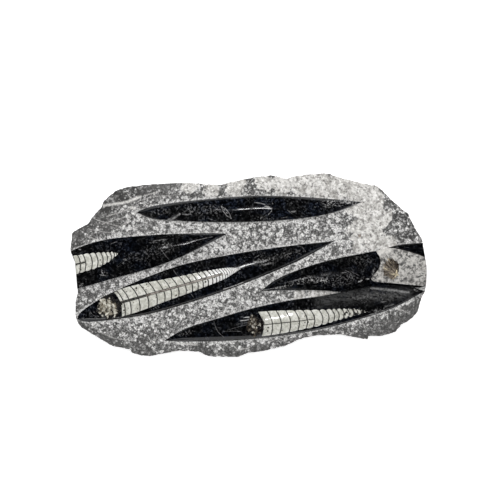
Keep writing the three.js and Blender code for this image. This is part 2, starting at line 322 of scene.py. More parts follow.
def times(tree, value, *others):
    """The product of several values."""
    for other in others:
        value = math_node(tree, "MULTIPLY", value, other)
    return value


def largest(tree, value, *others):
    for other in others:
        value = math_node(tree, "MAXIMUM", value, other)
    return value


def vector_node(tree, operation, a, b=(0.0, 0.0, 0.0), result=0):
    return add(tree, "ShaderNodeVectorMath", {0: a, 1: b}, operation=operation).outputs[result]


def scaled(tree, vector, factor):
    return add(tree, "ShaderNodeVectorMath", {0: vector, "Scale": factor}, operation="SCALE").outputs[0]


def span(tree, value, low, high, to_low=0.0, to_high=1.0):
    """Maps low..high to to_low..to_high, smoothly and without overshoot."""
    limits = {"Value": value, "From Min": low, "From Max": high, "To Min": to_low, "To Max": to_high}
    return add(tree, "ShaderNodeMapRange", limits, interpolation_type="SMOOTHSTEP").outputs["Result"]


def blend_colours(tree, share, first, second):
    return add(tree, "ShaderNodeMix", {0: share, 6: first, 7: second}, data_type="RGBA").outputs[2]


def coated(tree, colour, *coats):
    """A colour under several coats, each of them a share and a colour."""
    for share, coat in coats:
        colour = blend_colours(tree, share, colour, coat)
    return colour


def grey(level, warmth=0.0):
    """A near-neutral colour: warmth shifts it from blue to cream."""
    return (level * (1 + warmth), level, level * (1 - 1.6 * warmth), 1.0)


PATTERN_TURN = (0.35, 0.5, 0.8)    # turns every pattern off the slab's axes


def place(tree):
    return add(tree, "ShaderNodeTexCoord").outputs["Object"]


def turned_place(tree, offset=0.0, stretch=None):
    """Positions turned off the slab's axes, so that no pattern lines up with them."""
    return add(tree, "ShaderNodeMapping",
               {"Vector": place(tree), "Location": (offset, offset * 0.7, 0.0), "Rotation": PATTERN_TURN,
                "Scale": stretch or (1.0, 1.0, 1.0)}).outputs[0]


def speckle(tree, cell_mm, detail=3.0, roughness=0.6, offset=0.0, stretch=None):
    """Noise of 0 to 1 with lumps about cell_mm across."""
    where = turned_place(tree, offset, stretch)
    made = add(tree, "ShaderNodeTexNoise",
               {"Vector": where, "Scale": 1.0 / (cell_mm * MM), "Detail": detail, "Roughness": roughness})
    return made.outputs["Fac"]


def shaken(tree, where, noise_node, reach):
    """Positions moved about by a noise."""
    centred = vector_node(tree, "SUBTRACT", noise_node.outputs["Color"], (0.5, 0.5, 0.5))
    return vector_node(tree, "ADD", where, scaled(tree, centred, reach))


def new_mask_group(name, inputs):
    """A node group that puts out one mask; each of its inputs is a label and a usual value."""
    tree = bpy.data.node_groups.new(name, "ShaderNodeTree")
    for label, value in inputs.items():
        kind = "NodeSocketVector" if isinstance(value, tuple) else "NodeSocketFloat"
        tree.interface.new_socket(label, in_out="INPUT", socket_type=kind).default_value = value
    tree.interface.new_socket("Mask", in_out="OUTPUT", socket_type="NodeSocketFloat")
    return tree, tree.nodes.new("NodeGroupInput").outputs, tree.nodes.new("NodeGroupOutput").inputs


def put_out_mask(tree, out, distance, edge, softness):
    """Puts out 1 nearer than the edge and 0 beyond it, with a soft step between."""
    outer = math_node(tree, "ADD", edge, softness)
    inner = math_node(tree, "SUBTRACT", edge, softness)
    tree.links.new(span(tree, distance, outer, inner), out["Mask"])


def build_ragged_line():
    """Mask of a line between two points in plan, with an uneven edge: veins, cracks, shell fragments."""
    tree, given, out = new_mask_group("ragged_line", {
        "Start": (0.0, 0.0, 0.0), "End": (0.01, 0.0, 0.0), "Half Width": 0.0005, "Softness": 0.0003,
        "Raggedness": 0.0004, "Taper": 0.0})
    where = place(tree)
    jitter = add(tree, "ShaderNodeTexNoise", {"Vector": where, "Scale": 700.0, "Detail": 2.0})
    moved = shaken(tree, where, jitter, given["Raggedness"])
    height = add(tree, "ShaderNodeSeparateXYZ", {0: where}).outputs[2]
    sunk = math_node(tree, "MINIMUM", math_node(tree, "SUBTRACT", height, (GROUND - SKIN) * MM), 0.0)
    leant = vector_node(tree, "ADD", moved, scaled(tree, VEIN_LEAN, sunk))
    flat = vector_node(tree, "MULTIPLY", leant, (1, 1, 0))
    from_start = vector_node(tree, "SUBTRACT", flat, given["Start"])
    reach = vector_node(tree, "SUBTRACT", given["End"], given["Start"])
    along = vector_node(tree, "DOT_PRODUCT", from_start, reach, "Value")
    whole = vector_node(tree, "DOT_PRODUCT", reach, reach, "Value")
    share = math_node(tree, "DIVIDE", along, whole, clamp=True)
    gap = vector_node(tree, "DISTANCE", from_start, scaled(tree, reach, share), "Value")
    from_middle = math_node(tree, "ABSOLUTE", math_node(tree, "MULTIPLY_ADD", share, 2.0, -1.0))
    pinch = times(tree, math_node(tree, "POWER", from_middle, 3.0), given["Taper"])
    half = times(tree, given["Half Width"], math_node(tree, "SUBTRACT", 1.0, pinch))
    put_out_mask(tree, out, gap, half, given["Softness"])
    return tree


def build_pecks():
    """Mask of scattered tool pecks: blots of uneven size and outline."""
    tree, given, out = new_mask_group(
        "pecks", {"Cell": 0.0022, "Cover": 0.5, "Raggedness": 0.001, "Softness": 0.12})
    where = turned_place(tree)
    density = math_node(tree, "DIVIDE", 1.0, given["Cell"])
    jitter = add(tree, "ShaderNodeTexNoise",
                 {"Vector": where, "Scale": times(tree, density, 1.7), "Detail": 3.0, "Roughness": 0.7})
    moved = shaken(tree, where, jitter, given["Raggedness"])
    cells = add(tree, "ShaderNodeTexVoronoi", {"Vector": moved, "Scale": density, "Randomness": 1.0},
                feature="F1")
    size = add(tree, "ShaderNodeSeparateColor", {0: cells.outputs["Color"]}).outputs[0]
    radius = times(tree, math_node(tree, "MULTIPLY_ADD", size, 0.9, 0.35), given["Cover"])
    put_out_mask(tree, out, cells.outputs["Distance"], radius, given["Softness"])
    return tree


ragged_line = build_ragged_line()
pecks = build_pecks()
SOLID_SHARE = 0.75         # solid part of a mark's half width; the rest is its soft edge


def group_mask(tree, group, inputs):
    return add(tree, "ShaderNodeGroup", inputs, node_tree=group).outputs["Mask"]


def line_marks(tree, marks, softness=0.55):
    """The strongest of several lines: each mark is (points, half width, strength, raggedness) in mm."""
    total = 0.0
    for points, half_width, strength, raggedness in marks:
        spots = [((x + DATUM[0]) * MM, (y + DATUM[1]) * MM, 0.0) for x, y in points]
        for start, end in zip(spots, spots[1:]):
            mask = group_mask(tree, ragged_line, {
                "Start": start, "End": end, "Half Width": half_width * SOLID_SHARE * MM,
                "Softness": half_width * softness * MM, "Raggedness": raggedness * MM,
                "Taper": 1.0 if len(points) == 2 else 0.0})
            total = largest(tree, times(tree, mask, strength), total)
    return total


def peck_mask(tree, cell, cover, raggedness=1.0, softness=0.12):
    return group_mask(tree, pecks, {"Cell": cell * MM, "Cover": cover, "Raggedness": raggedness * MM,
                                    "Softness": softness})


def new_material(name):
    material = bpy.data.materials.new(name)
    material.use_nodes = True
    return material, material.node_tree, material.node_tree.nodes["Principled BSDF"]


def bump(tree, height, distance_mm, strength=1.0):
    steps = {"Height": height, "Distance": distance_mm * MM, "Strength": strength}
    return add(tree, "ShaderNodeBump", steps).outputs["Normal"]


def attribute(tree, name):
    return add(tree, "ShaderNodeAttribute", attribute_name=name, attribute_type="GEOMETRY").outputs["Fac"]


# ---------------------------------------------------------------------------------------------------------
# Stone finishes
# ---------------------------------------------------------------------------------------------------------

# Lines in the stone: points, half width, strength, raggedness
LIMESTONE_VEINS = [
    ([(-121, 49.5), (-101.5, 52.5), (-90, 57)], 1.4, 0.95, 2.0),
    ([(-99, 49), (-94, 46)], 1.7, 0.85, 2.0),
    ([(-128, 38), (-112, 33), (-100, 31)], 0.45, 0.5, 1.6),
    ([(-122, 34), (-106, 39), (-96, 42.5)], 0.45, 0.5, 1.6),
    ([(-134, 30), (-118, 27), (-104, 27)], 0.4, 0.45, 1.6),
    ([(-112, 28), (-103, 35), (-99, 41)], 0.4, 0.5, 1.2),
    ([(-92, 53), (-80, 57), (-66, 58)], 0.5, 0.5, 1.6),
    ([(-126, -56), (-112, -62), (-96, -64)], 0.5, 0.45, 1.8),
    ([(-66, -66), (-52, -62), (-44, -68)], 0.45, 0.5, 1.4),
    ([(16, -66), (26, -62), (34, -66)], 0.45, 0.5, 1.4),
    ([(-90, 57), (-72, 62)], 0.6, 0.6, 2.0),
    ([(-118, 40.5), (-104, 45), (-92, 49)], 0.6, 0.6, 1.5),
    ([(-136, 24), (-124, 20)], 0.5, 0.7, 1.2),
    ([(-101.5, 60), (-97, 55)], 0.5, 0.7, 1.2),
    ([(-79, 58), (-77, 61)], 0.7, 0.7, 1.2),
    ([(-84, -59), (-80, -67)], 0.5, 0.6, 1.5),
    ([(-80, -67), (-76, -61)], 0.5, 0.6, 1.5),
    ([(-60, -66.5), (-40, -67.5)], 1.0, 0.7, 2.0),
    ([(-14, -66), (-8, -72), (2, -70)], 0.6, 0.6, 1.5),
    ([(122, -36), (137, -41)], 0.8, 0.6, 2.5),
    ([(96, -47), (100, -56)], 0.4, 0.5, 1.0),
    ([(127, -29.5), (140, -25)], 0.5, 0.5, 0.6),
]
IRON_STAIN = [([(93, 24.2), (95.5, 23.8)], 1.6, 0.8, 2.0)]
SMOOTH_CALCITE = [
    ([(109, 8.5), (113, 11), (119, 12)], 4.0, 0.85, 3.5),
    ([(109, -11.5), (116, -13)], 1.6, 0.6, 2.0),
]
BLUE_BLACK = (0.0084, 0.0115, 0.0190)
PLAIN_BLACK = (0.0123, 0.0126, 0.0129)


def chiselled_limestone():
    """Grey stone under white tool pecks, with pale calcite, veins and a rust stain."""
    material, tree, shader = new_material("chiselled_limestone")
    near_fossil, pale, rim, broken, side, dent, dense, dark = (
        attribute(tree, label) for label in ("fossil_distance", "pale", "worn_rim", "broken_face", "side",
                                             "peck", "pecking", "dark"))
    cloud = speckle(tree, 14.0, 4.0, 0.6)
    grain = speckle(tree, 1.2, 4.0, 0.7, offset=0.013)
    coarse = speckle(tree, 4.5, 4.0, 0.65, offset=0.031)
    blur = speckle(tree, 2.0, 4.0, 0.7, offset=0.047)

    # the bare stone, which weathers duller at the rim and on the broken face
    dull = largest(tree, broken, times(tree, rim, 0.7))
    weathered = blend_colours(tree, span(tree, coarse, 0.40, 0.60), grey(0.040, 0.015), grey(0.13, 0.015))
    base = coated(tree, grey(0.036, 0.012),
                  (span(tree, grain, 0.38, 0.64), grey(0.20, 0.012)),
                  (span(tree, cloud, 0.38, 0.62, 0.0, 0.4), grey(0.085, 0.012)),
                  (times(tree, dull, 0.6), weathered),
                  (times(tree, dark, 0.6), grey(0.028, 0.01)))

    # crushed white stone: pecks that crowd towards the fossils, and a fringe along them
    quiet = largest(tree, times(tree, rim, 0.8), broken, side)
    crowded = times(tree, span(tree, near_fossil, 5.0, 1.0, 0.0, 0.22),
                    math_node(tree, "SUBTRACT", 1.0, quiet))
    cover = times(tree, span(tree, quiet, 0.0, 1.0, 0.66, 0.20), span(tree, broken, 0.0, 1.0, 1.0, 0.2),
                  span(tree, dense, 0.0, 1.0, 0.72, 1.0), span(tree, coarse, 0.38, 0.62, 0.55, 1.2))
    cover = math_node(tree, "ADD", cover, crowded)
    blots = peck_mask(tree, 3.3, cover, 2.4, 0.11)
    fine_blots = peck_mask(tree, 1.7, times(tree, cover, 0.75), 1.1, 0.13)
    struck = times(tree, dent, span(tree, grain, 0.3, 0.6), 0.7)
    white = largest(tree, blots, times(tree, fine_blots, 0.6), struck)
    white = times(tree, white, span(tree, grain, 0.34, 0.52, 0.35, 1.0))
    fringe_reach = math_node(tree, "SUBTRACT", near_fossil, span(tree, coarse, 0.25, 0.75, -0.6, 1.6))
    fringe = times(tree, span(tree, fringe_reach, 1.2, 0.2), span(tree, broken, 0.0, 1.0, 0.85, 0.2),
                   span(tree, grain, 0.36, 0.58, 0.2, 1.0))
    white = times(tree, largest(tree, white, fringe), span(tree, broken, 0.0, 1.0, 1.0, 0.6))
    crushed = blend_colours(tree, span(tree, grain, 0.38, 0.60), grey(0.34, 0.015), grey(0.84, 0.008))

    # pale calcite, whose border wanders further on the sides
    spar = coated(tree, grey(0.36, 0.035),
                  (span(tree, coarse, 0.38, 0.62), grey(0.74, 0.02)),
                  (span(tree, blur, 0.53, 0.64, 0.0, 0.9), grey(0.12, 0.02)),
                  (span(tree, blur, 0.46, 0.34, 0.0, 0.9), grey(0.95, 0.012)))
    swing = times(tree, span(tree, coarse, 0.2, 0.8, -0.32, 0.32), span(tree, side, 0.0, 1.0, 1.0, 3.2))
    calcite = span(tree, math_node(tree, "ADD", pale, swing), 0.42, 0.62)

    veins = times(tree, line_marks(tree, LIMESTONE_VEINS), span(tree, grain, 0.25, 0.6, 0.3, 1.0))
    stain = times(tree, line_marks(tree, IRON_STAIN), span(tree, grain, 0.3, 0.6))
    height = math_node(tree, "ADD", times(tree, grain, 0.7), times(tree, coarse, 1.2))
    height = math_node(tree, "SUBTRACT", height, times(tree, white, 0.25))
    set_inputs(tree, shader, {
        "Base Color": coated(tree, base, (white, crushed), (calcite, spar), (veins, grey(0.72, 0.02)),
                             (stain, (0.20, 0.14, 0.08, 1))),
        "Roughness": span(tree, grain, 0.2, 0.8, 0.78, 0.95),
        "Specular IOR Level": 0.35,
        "Normal": bump(tree, height, 0.7, 0.9)})
    return material


def polished_black(fossil):
    """Black limestone polished to a gloss, with a fossil's shell fragments, greyer traces, painted highlights
    and sheen.
    """
    material, tree, shader = new_material(fossil.replace("fossil", "polished_black"))
    tone = STONE_TONES[fossil]
    matte = DULL_POLISH.get(fossil, 0.0)
    flank = attribute(tree, "flank")
    fine = speckle(tree, 1.8, 4.0, 0.8, offset=0.007)
    cloud = speckle(tree, 9.0, 4.0, 0.6, offset=0.019)
    ghost = speckle(tree, 3.4, 3.0, 0.6, offset=0.041)
    hue = speckle(tree, 18.0, 2.0, 0.5, offset=0.033)
    streaks = speckle(tree, 1.6, 3.0, 0.65, offset=0.027, stretch=(0.3, 1.0, 1.0))
    ripple = speckle(tree, 6.0, 2.0, 0.5, offset=0.09)
    blue, plain = ([part * tone for part in colour] + [1.0] for colour in (BLUE_BLACK, PLAIN_BLACK))
    stone = blend_colours(tree, span(tree, hue, 0.42, 0.58), blue, plain)
    lit = times(tree, span(tree, fine, 0.42, 0.60), span(tree, ghost, 0.40, 0.60, 0.1, 1.0))
    dust = times(tree, span(tree, fine, 0.54, 0.67, 0.0, tone), span(tree, cloud, 0.42, 0.62, 0.1, 1.0))
    faint = times(tree, span(tree, ghost, 0.58, 0.68, 0.0, 0.5), span(tree, cloud, 0.48, 0.60),
                  span(tree, fine, 0.42, 0.6))
    # painted sheen: a grey line along the arris of a wide flank, where the bevel catches the side lamps
    painted_arris_sheen = times(tree, flank, span(tree, ghost, 0.35, 0.6, 0.25, 1.0))
    base = coated(tree, (0.0001, 0.0001, 0.0003, 1), (lit, stone), (dust, grey(0.075, -0.02)),
                  (faint, grey(0.10, 0.01)), (painted_arris_sheen, grey(0.032, -0.01)))
    # painted grey sheen, pale traces, then white shell fragments with painted crest and bevel highlights
    for marks, softness, breaks, colour in (
            (PAINTED_GREY_SHEEN.get(fossil), 1.2, span(tree, streaks, 0.36, 0.62, 0.15, 1.0), grey(0.058)),
            (PALE_TRACES[fossil], 0.7, span(tree, fine, 0.50, 0.62), grey(0.42, 0.01)),
            (SHELL_AND_PAINTED_HIGHLIGHTS[fossil], 0.55, span(tree, fine, 0.36, 0.56, 0.15, 1.0), grey(0.50, 0.005))):
        if marks:
            base = coated(tree, base, (times(tree, line_marks(tree, marks, softness), breaks), colour))
    polish = span(tree, cloud, 0.3, 0.7, 0.06 + matte, 0.13 + matte)
    height = math_node(tree, "ADD", ripple, times(tree, fine, 0.04))
    set_inputs(tree, shader, {
        "Base Color": base,
        "Roughness": math_node(tree, "ADD", polish, times(tree, flank, 0.28)),
        "IOR": 1.5,
        "Specular IOR Level": 0.5 - 5.0 * matte,
        "Normal": bump(tree, height, 0.06, 0.8)})
    return material


def sawn_black(name, section):
    """The dull cut through a fossil; section is the shell cut across: middle y and z, then radii, in mm."""
    material, tree, shader = new_material(name)
    fine = speckle(tree, 1.6, 4.0, 0.7, offset=0.013)
    colour = blend_colours(tree, span(tree, fine, 0.40, 0.62), grey(0.006, -0.02), grey(0.035, -0.01))
    if section:
        (y, z), (half_width, half_height) = section
        from_middle = vector_node(tree, "SUBTRACT", place(tree), (0.0, (y + DATUM[1]) * MM, z * MM))
        shares = vector_node(tree, "MULTIPLY", from_middle,
                             (0.0, 1 / (half_width * MM), 1 / (half_height * MM)))
        reach = math_node(tree, "ADD", vector_node(tree, "LENGTH", shares, result="Value"),
                          span(tree, fine, 0.3, 0.7, -0.03, 0.03))
        spar = blend_colours(tree, span(tree, fine, 0.38, 0.6), grey(0.30, 0.03), grey(0.58, 0.02))
        wall = times(tree, span(tree, reach, 0.20, 0.17), span(tree, reach, 0.10, 0.13))
        colour = coated(tree, colour, (span(tree, reach, 1.0, 0.95), spar), (wall, grey(0.03)))
    set_inputs(tree, shader, {"Base Color": colour, "Roughness": span(tree, fine, 0.3, 0.7, 0.5, 0.65),
                              "Specular IOR Level": 0.12})
    return material


def white_calcite():
    """Cream-white shell with grey specks and dark notches, eaten away towards its narrow end."""
    material, tree, shader = new_material("white_calcite")
    cloud = speckle(tree, 3.2, 4.0, 0.6, offset=0.017)
    fine = speckle(tree, 1.5, 3.0, 0.6)
    blots = speckle(tree, 2.6, 3.0, 0.6, offset=0.05)
    decay = attribute(tree, "decay")
    eaten = times(tree, span(tree, math_node(tree, "MULTIPLY_ADD", decay, 0.08, blots), 0.56, 0.62),
                  span(tree, decay, 0.0, 0.4))
    colour = coated(tree, (0.51, 0.507, 0.45, 1),
                    (span(tree, cloud, 0.4, 0.6), (0.73, 0.725, 0.67, 1)),
                    # painted highlight: whiter shell over the stretch given in CHAMBERS
                    (times(tree, attribute(tree, "painted_highlight"), 0.85), grey(0.84, 0.005)),
                    (span(tree, fine, 0.56, 0.68, 0.0, 0.6), grey(0.20, 0.03)),
                    (span(tree, blots, 0.62, 0.69, 0.0, 0.85), (0.11, 0.09, 0.065, 1)),
                    (peck_mask(tree, 4.2, 0.15, 1.6, 0.05), (0.03, 0.026, 0.022, 1)),
                    (eaten, (0.012, 0.012, 0.012, 1)))
    set_inputs(tree, shader, {"Base Color": colour, "Roughness": span(tree, cloud, 0.35, 0.65, 0.10, 0.15),
                              "Specular IOR Level": 1.0, "IOR": 1.66})
    return material


def two_tone(name, cell, detail, limits, dark, light, roughness):
    """A dark and a light tone in lumps of one cell; the noise turns one to the other between its limits."""
    material, tree, shader = new_material(name)
    share = span(tree, speckle(tree, cell, detail, 0.6), *limits)
    set_inputs(tree, shader, {"Base Color": blend_colours(tree, share, dark, light), "Roughness": roughness})
    return material


def pale_calcite():
    """Grey mottled calcite with dark pores and smooth pale stretches."""
    material, tree, shader = new_material("pale_calcite")
    cloud = speckle(tree, 7.0, 4.0, 0.6, offset=0.011)
    fine = speckle(tree, 2.2, 4.0, 0.7, offset=0.023)
    pores = speckle(tree, 3.8, 4.0, 0.65, offset=0.061)
    smooth = times(tree, line_marks(tree, SMOOTH_CALCITE), span(tree, fine, 0.3, 0.6, 0.6, 1.0))
    colour = coated(tree, grey(0.10, 0.03),
                    (span(tree, fine, 0.40, 0.60), grey(0.50, 0.03)),
                    (span(tree, cloud, 0.48, 0.60, 0.0, 0.6), grey(0.56, 0.03)),
                    (span(tree, pores, 0.54, 0.61, 0.0, 0.92), grey(0.05)),
                    (smooth, grey(0.62, 0.03)))
    set_inputs(tree, shader, {"Base Color": colour, "Roughness": span(tree, cloud, 0.2, 0.8, 0.35, 0.6),
                              "Normal": bump(tree, fine, 0.25, 0.6)})
    return material


def crystal_finish(name, dark, middle, light):
    """Crystals whose own tint picks a tone between three colours."""
    material, tree, shader = new_material(name)
    tint = attribute(tree, "tint")
    fine = speckle(tree, 1.0, 3.0, 0.6, offset=0.029)
    colour = coated(tree, dark, (span(tree, tint, 0.0, 0.55), middle), (span(tree, tint, 0.5, 1.0), light),
                    (span(tree, fine, 0.5, 0.8, 0.0, 0.5), dark))
    set_inputs(tree, shader, {"Base Color": colour, "Roughness": span(tree, fine, 0.2, 0.8, 0.15, 0.4)})
    return material


# ---------------------------------------------------------------------------------------------------------
# The fossils' surfaces
# ---------------------------------------------------------------------------------------------------------

def flank_profile(edge_gap, half, flank, crest):
    """Height over the ground at a distance in from one edge: a planed flank, then a gentle dome."""
    rise = np.clip(edge_gap / flank, 0, 1) ** 0.85
    inward = np.clip((edge_gap - flank) / (half - flank), 0, 1)
    return crest * (FLANK_SHARE * rise + (1 - FLANK_SHARE) * (1 - (1 - inward) ** 2))


def across_rows():
    """Signed positions across a fossil as (side, kind, share), from the lower edge to the upper one."""
    flank = [("flank", share) for share in FLANK_SHARES]
    dome = [("dome", share) for share in DOME_SHARES]
    lower = [(-1, *row) for row in flank + dome]
    upper = [(1, *row) for row in (flank + dome)[:-1]]
    return lower + upper[::-1]


def fossil_stations(shape):
    """Middle points, across vectors and half-widths along a fossil."""
    length = np.linalg.norm(np.array(shape["upper"][-1]) - shape["upper"][0])
    count = int(length / ALONG_STEP)
    upper = smooth_curve(shape["upper"], count)
    lower = smooth_curve(shape["lower"], count)
    middle = (upper + lower) / 2
    across = (upper - lower) / 2
    half = np.linalg.norm(across, axis=1)
    return middle, across, half


def fossil_surface(name, shape):
    """One fossil's closed surface: rings of points along it, two tips, and each point's flank mask."""
    middle, across, half = (line[1:-1] for line in fossil_stations(shape))
    unit = across / half[:, None]
    crest = shape["crest"] * (half / half.max()) ** shape["taper"]
    crest *= 1 - shape.get("fall", 0.0) * (middle[:, 0] - middle[half.argmax(), 0])
    rows = []
    painted_arris_sheen = []
    for side, kind, share in across_rows():
        flank = np.minimum(shape["flanks"][0 if side > 0 else 1], FLANK_LIMIT * half)
        edge_gap = flank * share if kind == "flank" else flank + (half - flank) * share
        plan = middle + unit * (side * (half - edge_gap))[:, None]
        rows.append(np.column_stack([plan, GROUND + flank_profile(edge_gap, half, flank, crest)]))
        painted_arris_sheen.append(float((kind, share) in ARRIS_ROWS and flank.max() > GROUND_FLANK))
    for k in range(1, BOWL_ROWS):
        angle = math.pi * k / BOWL_ROWS
        depth = 2 * half * FOSSIL_DEPTH * math.sin(angle)
        rows.append(np.column_stack([middle + across * math.cos(angle), GROUND - depth]))
        painted_arris_sheen.append(0.0)
    grid = np.array(rows)
    wobble = rough(grid.reshape(-1, 3), 16.0, 2, seed=len(name)).reshape(grid.shape[:2])
    grid[:, :, 2] += CREST_WOBBLE * wobble * np.clip((grid[:, :, 2] - GROUND) / shape["crest"], 0, 1)
    around, along = grid.shape[:2]
    tips = np.array([[*shape["upper"][0], GROUND], [*shape["upper"][-1], GROUND]])
    points = np.vstack([grid.transpose(1, 0, 2).reshape(-1, 3), tips])
    start, end = len(points) - 2, len(points) - 1
    last = (along - 1) * around
    faces = [face[::-1] for face in grid_faces(along, around, closed=True)]
    faces += [(start, j, (j + 1) % around) for j in range(around)]
    faces += [(end, last + (j + 1) % around, last + j) for j in range(around)]
    return points, faces, np.concatenate([np.tile(painted_arris_sheen, along), [0, 0]])


def outline_ring():
    """The slab's widest outline from the CAD body, anticlockwise, in drawing millimetres."""
    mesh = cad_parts["matrix_slab"].data
    ring = {(round(v.co.x / MM, 3), round(v.co.y / MM, 3)) for v in mesh.vertices
            if abs(v.co.z / MM - SIDE_WIDEST) < 0.05}
    ring = sorted(ring, key=lambda p: math.atan2(p[1], p[0]))
    return np.array(ring) - DATUM[:2]


def inset_at(height):
    """How far the slab's side stands in from its widest outline at a height."""
    heights, insets = zip(*SIDE_PROFILE)
    return np.interp(height, heights, insets)


def stand_in(points, inset):
    """Moves outline points towards the slab's middle."""
    reach = np.linalg.norm(points, axis=1)
    return points * (1 - np.asarray(inset) / reach)[:, None]


ENVELOPE_TOP = (45.0, 3.0)     # height, inset


def edge_envelope(ring):
    """A closed tool: the slab's sides carried on upwards."""
    points = np.vstack([np.column_stack([stand_in(ring, inset), np.full(len(ring), height)])
                        for height, inset in (*SIDE_PROFILE[:-1], ENVELOPE_TOP)])
    count = len(ring)
    faces = grid_faces(len(SIDE_PROFILE), count, closed=True)
    faces.append(tuple(range(count))[::-1])
    faces.append(tuple(range(len(points) - count, len(points))))
    return mesh_object("edge_envelope", points, faces)


BEYOND_CORNER = (175, 30)      # a corner of the tool well outside the slab
BREAK_BELOW = -12              # the break is ragged above this y and a clean contact below it


def calcite_side():
    """A closed tool: everything beyond the break across the right fossil."""
    line = smooth_curve(CALCITE_BREAK, 140)
    jag = rough(np.column_stack([line, np.zeros(len(line))]), 3.0, 3, seed=5)
    line[:, 0] += 0.8 * jag * (line[:, 1] > BREAK_BELOW)
    plan = np.vstack([line, [BEYOND_CORNER]])
    count = len(plan)
    points = np.vstack([np.column_stack([plan, np.full(count, z)]) for z in (0.0, 50.0)])
    faces = grid_faces(2, count, closed=True)
    faces += [tuple(range(count))[::-1], tuple(range(count, 2 * count))]
    return mesh_object("calcite_side", points, faces)


